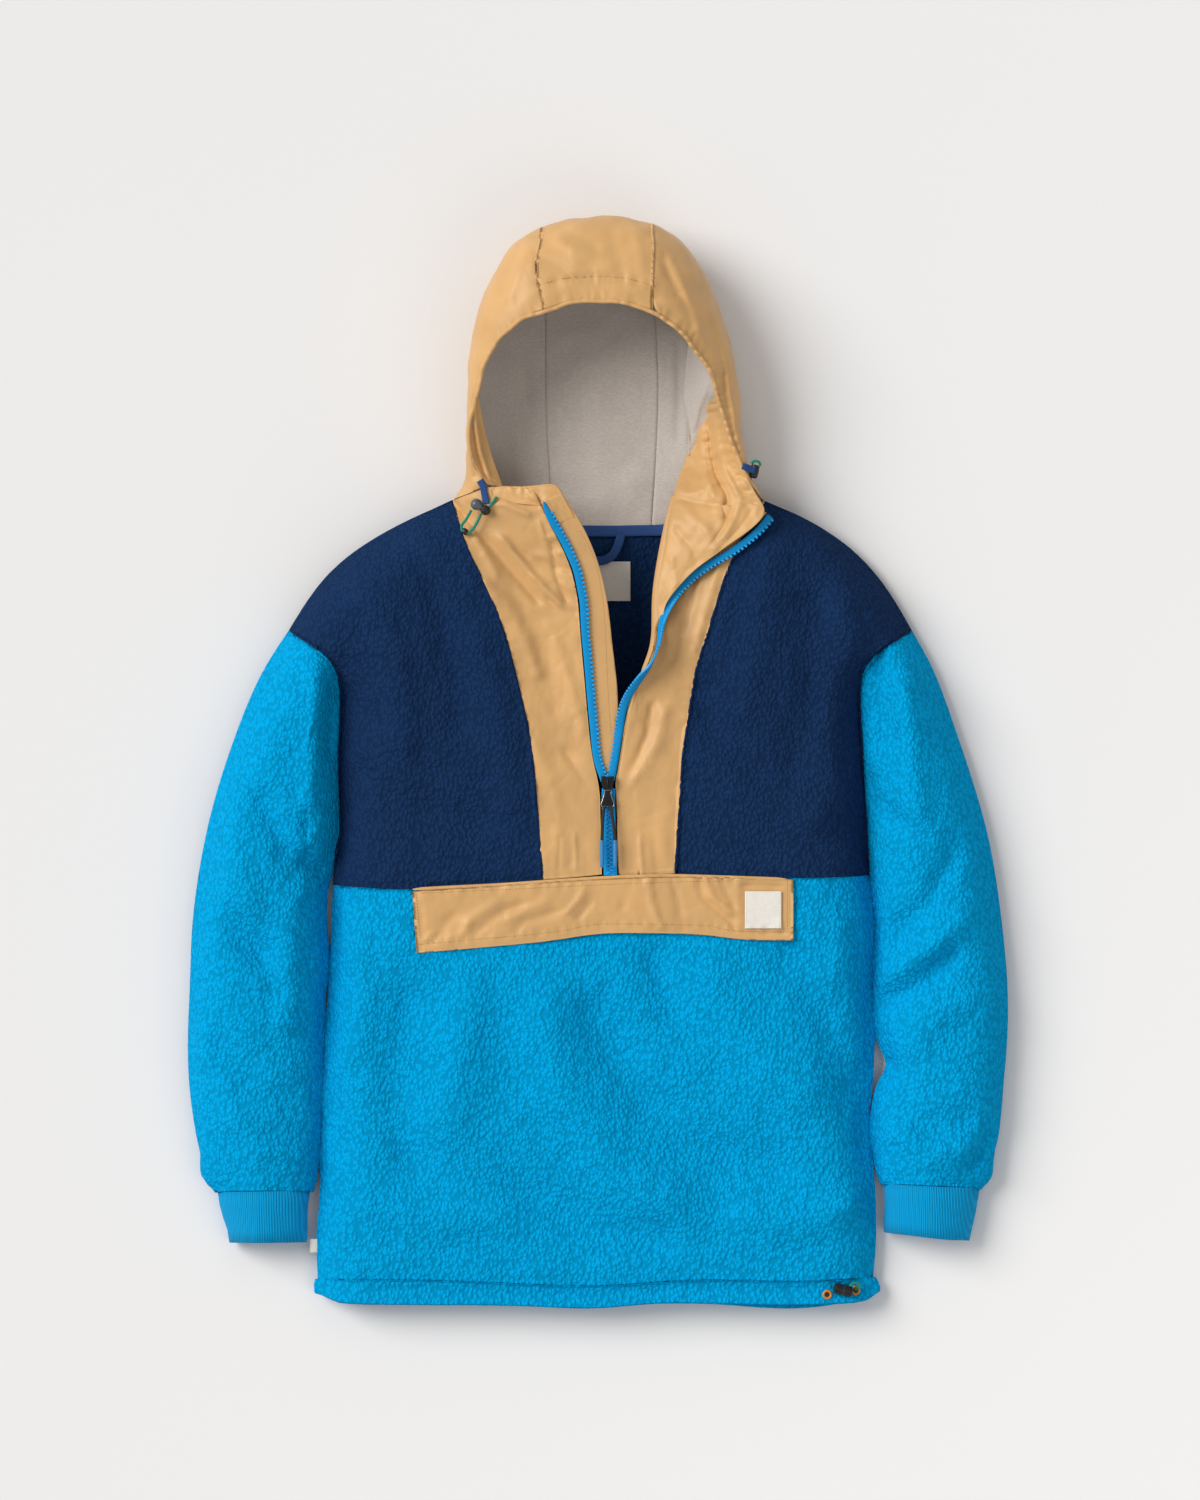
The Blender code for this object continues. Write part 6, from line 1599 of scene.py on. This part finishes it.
class FLEECE_OT_stage(bpy.types.Operator):
    """Camera above the garment, pale floor, and soft light from the upper left"""

    bl_idname = "fleece.stage"
    bl_label = "Stage"

    def execute(self, context):
        scene = context.scene
        studio = scene.studio
        camera = linked("camera", bpy.data.cameras.new("camera"))
        camera.location = Vector(STAGE_CENTRE) * MM + Vector((0, 0, studio.camera_height))
        camera.data.sensor_width = SENSOR
        camera.data.lens = SENSOR * studio.camera_height / studio.field
        camera.data.clip_end = 40
        scene.camera = camera
        build = bmesh.new()
        bmesh.ops.create_grid(build, x_segments=24, y_segments=24, size=6)
        mesh = bpy.data.meshes.new("floor")
        build.to_mesh(mesh)
        build.free()
        floor = linked("floor", mesh)
        floor.location.z = -FLOOR_DROP
        mesh.materials.append(floor_finish("floor", studio.floor))
        flat = math.cos(studio.key_height)
        towards = Vector((KEY_WAY[0] * flat, KEY_WAY[1] * flat, math.sin(studio.key_height)))
        lamp("key", "SUN", towards * 3, (0, 0, 0), energy=studio.key, angle=studio.key_spread, color=KEY_COLOUR)
        lamp("low", "AREA", (1.5, -1.7, 2.4), (0.5, -0.6, 0), shape="DISK", size=2.2, energy=studio.low)
        scene.world = bpy.data.worlds.new("studio")
        scene.world.use_nodes = True
        sky = scene.world.node_tree.nodes["Background"]
        sky.inputs["Color"].default_value = SKY_COLOUR
        sky.inputs["Strength"].default_value = studio.fill
        scene.view_settings.view_transform = "Standard"
        scene.view_settings.look = "None"
        return {"FINISHED"}


class FLEECE_OT_cords(GarmentOperator, bpy.types.Operator):
    """Elastic cords of the hood"""

    bl_idname = "fleece.cords"
    bl_label = "Cords"

    def make(self, g):
        bead = turned("cord_bead_left", (-120.2, 203.6, 59.2), (0.62, 0.78, 0.0), BEAD, "black")
        loop, line = tube("hood_cord_left_loop", np.array(HOOD_CORD_LEFT) + (0, 0, 1.2), 2.6, "green",
                          ("hood_cord_left",), step=1.6)
        tuple(line[0] * MM)
        length_of(line) * MM
        tube("hood_cord_left_tail", np.array(HOOD_CORD_LEFT_END) + (0, 0, 0.8), 2.6, "green",
             ("hood_cord_left_end",))
        tube("hood_cord_right_loop", np.array(HOOD_CORD_RIGHT) - (3.5, 0, 0), 2.4, "green",
             ("hood_cord_right",))


class FLEECE_OT_body(GarmentOperator, bpy.types.Operator):
    """Blue and navy fleece of front and back"""

    bl_idname = "fleece.body"
    bl_label = "Body"

    def make(self, g):
        fine, plain = g.detail, max(1, g.detail - 1)
        front = {"front_lower": "blue", "front_yoke_left": "navy", "front_yoke_right": "navy"}
        for name, finish in front.items():
            cloth(name, fine, fleece_relief, finish, BODY_BULGES, folds=BODY_FOLDS, low=14, high=30, seed=1.0)
        cloth("back_lower", plain, fleece_relief, "blue", BODY_BULGES, **BACK)
        cloth("back_yoke", plain, fleece_relief, "navy", **BACK)
        cloth("hem_front", fine, fleece_relief, "blue", BODY_BULGES + HEM_BULGES, folds=(), low=14, high=26,
              seam=1.3, rough=1.0, seed=5.0)
        cloth("hem_back", plain, fleece_relief, "blue", BODY_BULGES + HEM_BULGES, **BACK)


class FLEECE_OT_sleeves(GarmentOperator, bpy.types.Operator):
    """Sleeves and their ribbed cuffs"""

    bl_idname = "fleece.sleeves"
    bl_label = "Sleeves"

    def make(self, g):
        for side in ("left", "right"):
            cloth("sleeve_" + side, g.detail, fleece_relief, "blue", SLEEVE_BULGES,
                  folds=BODY_FOLDS + SLEEVE_FOLDS, low=14, high=30, seed=1.0)
            cuff = "cuff_" + side
            piece, _ = finer(cuff, max(1, g.detail - 1))
            set_coordinates(piece.data, swollen(CUFF_BULGES, coordinates(piece.data)))
            dressed(piece, "rib", (cuff,))


class FLEECE_OT_hood(GarmentOperator, bpy.types.Operator):
    """Hood's nylon, its grey lining and the facing of its left edge"""

    bl_idname = "fleece.hood"
    bl_label = "Hood"

    def make(self, g):
        for name in ("hood_centre", "hood_side_left", "hood_side_right"):
            cloth(name, g.detail, hood_relief, "tan", HOOD_BULGES)
        for name in ("lining_centre", "lining_left", "lining_right"):
            cloth(name, g.detail, hood_relief, "heather", lining=True)
        dressed(facing_surface("lining_pleat", PLEAT, PLEAT_FOLDS, (), 24), "heather")
        facing = facing_surface("left_facing", LEFT_FACING, LEFT_FACING_FOLDS, LEFT_FACING_PUCKERS, 20)
        dressed(facing, "tan", ("hood_facing_left",))
        rim = run_through(HOOD_RIM, 2.0)
        roll("hood_edge", rim + hood_lift(rim), 1.9, 1.5, "tan")


class FLEECE_OT_plackets(GarmentOperator, bpy.types.Operator):
    """Nylon of the zip opening: plackets, guard and lapel facing"""

    bl_idname = "fleece.plackets"
    bl_label = "Plackets"

    def make(self, g):
        for name, seed, showing in (("placket_left", 31.0, None), ("placket_right", 32.0, below_lapel)):
            cloth(name, g.detail, nylon_relief, "tan", folds=PLACKET_FOLDS, gathers=PLACKET_PUCKERS, low=30,
                  high=44, rough=1.1, seed=seed, showing=showing)
        guard, _ = finer("zip_guard", g.detail)
        dressed(guard, "tan", ("zip_guard",))
        facing = facing_surface("lapel_facing", FACING, FACING_FOLDS, FACING_PUCKERS, 40)
        dressed(facing, "tan", ("facing_right", "hood_facing_right"))
        dressed(facing_surface("collar_fold", COLLAR, COLLAR_FOLDS, COLLAR_PUCKERS, 16), "tan")
        rim = run_through([row[:3] for row in COLLAR], 1.5)
        roll("collar_edge", rim - (0, 0, 0.5), 1.3, 1.3, "tan")


class FLEECE_OT_flap(GarmentOperator, bpy.types.Operator):
    """Pocket flap and its woven patch"""

    bl_idname = "fleece.flap"
    bl_label = "Pocket flap"

    def make(self, g):
        flap = cloth("pocket_flap", g.detail, nylon_relief, "tan", folds=FLAP_FOLDS, gathers=FLAP_PUCKERS,
                     low=20, high=30, rough=0.6, seed=41.0)
        woven_patch(flap)
        tree = tree_of(flap)
        line = run_through(FLAP_JOIN, ROLL_STEP)
        levels = [(top_at(tree, x, y - 2.4) or top_at(tree, x, y - 5.0) or (FLAP_LEVEL,))[0] for x, y in line]
        roll("flap_join", np.column_stack([line, evened(levels, 5) - 0.8]), 1.6, 1.1, "tan")


class FLEECE_OT_neck(GarmentOperator, bpy.types.Operator):
    """Neck tape, hanging loop, label and side tag"""

    bl_idname = "fleece.neck"
    bl_label = "Neck pieces"

    def make(self, g):
        ribbon("neck_binding", NECK_TAPE, 10, "royal", ("neck_tape",))
        ribbon("hanger", HANG_LOOP, 8, "royal", ("hang_loop",), step=1.0)
        label = cloth_rectangle("plain_label", LABEL,
                                lambda x, y: LABEL_LEVEL + 0.25 * math.cos((x - 8) / 9.0), 0.5)
        dressed(label, "cream", ("neck_label",))
        ribbon("side_label", SIDE_TAG, 12.4, "cream", ("side_tag",), step=0.6)


class FLEECE_OT_zip(GarmentOperator, bpy.types.Operator):
    """Zip tapes, teeth, slider and the pull with its cords"""

    bl_idname = "fleece.zip"
    bl_label = "Zip"

    def make(self, g):
        for side, line, first in (("left", ZIP_LEFT, 24), ("right", ZIP_RIGHT, 4)):
            open_row(side, line, first, g.tooth_pitch / MM)
        closed_chain()
        zip_slider()
        zip_pull()


class FLEECE_OT_fittings(GarmentOperator, bpy.types.Operator):
    """Cord locks, their loops, and the hem's eyelets"""

    bl_idname = "fleece.fittings"
    bl_label = "Cord locks and eyelets"

    def make(self, g):
        hood_fittings()
        hem_fittings()


class FLEECE_OT_sewing(GarmentOperator, bpy.types.Operator):
    """Rolls along the seams, and visible rows of stitches"""

    bl_idname = "fleece.sewing"
    bl_label = "Sewing"

    def make(self, g):
        for row in SEAMS:
            seam_roll(*row)
        for name, piece, lines in SEWN:
            sew(name, lines, bpy.data.objects["fine_" + piece], "tan_thread")


class FLEECE_PT_panel(bpy.types.Panel):
    """Lists the pieces and their settings"""

    bl_label = "Hooded Fleece"
    bl_idname = "FLEECE_PT_panel"
    bl_space_type = "VIEW_3D"
    bl_region_type = "UI"
    bl_category = "Fleece"

    def draw(self, context):
        layout = self.layout
        for title, owner in (("Garment", context.scene.garment), ("Studio", context.scene.studio)):
            box = layout.box()
            box.label(text=title)
            for name in owner.bl_rna.properties.keys():
                if name not in ("rna_type", "name"):
                    box.prop(owner, name)
        for operator in PIECES:
            layout.operator(operator.bl_idname)


PIECES = (FLEECE_OT_stage, FLEECE_OT_cords, FLEECE_OT_body, FLEECE_OT_sleeves, FLEECE_OT_hood,
          FLEECE_OT_plackets, FLEECE_OT_flap, FLEECE_OT_neck, FLEECE_OT_zip, FLEECE_OT_fittings,
          FLEECE_OT_sewing)
CLASSES = (GarmentSettings, StudioSettings, *PIECES, FLEECE_PT_panel)


def register():
    for kind in CLASSES:
        bpy.utils.register_class(kind)
    bpy.types.Scene.garment = PointerProperty(type=GarmentSettings)
    bpy.types.Scene.studio = PointerProperty(type=StudioSettings)


def unregister():
    del bpy.types.Scene.studio
    del bpy.types.Scene.garment
    for kind in reversed(CLASSES):
        bpy.utils.unregister_class(kind)


def main():
    register()
    for operator in (bpy.ops.fleece.stage, bpy.ops.fleece.cords, bpy.ops.fleece.body, bpy.ops.fleece.sleeves,
                     bpy.ops.fleece.hood, bpy.ops.fleece.plackets, bpy.ops.fleece.flap, bpy.ops.fleece.neck,
                     bpy.ops.fleece.zip, bpy.ops.fleece.fittings, bpy.ops.fleece.sewing):
        operator()


if __name__ == "__main__":
    main()
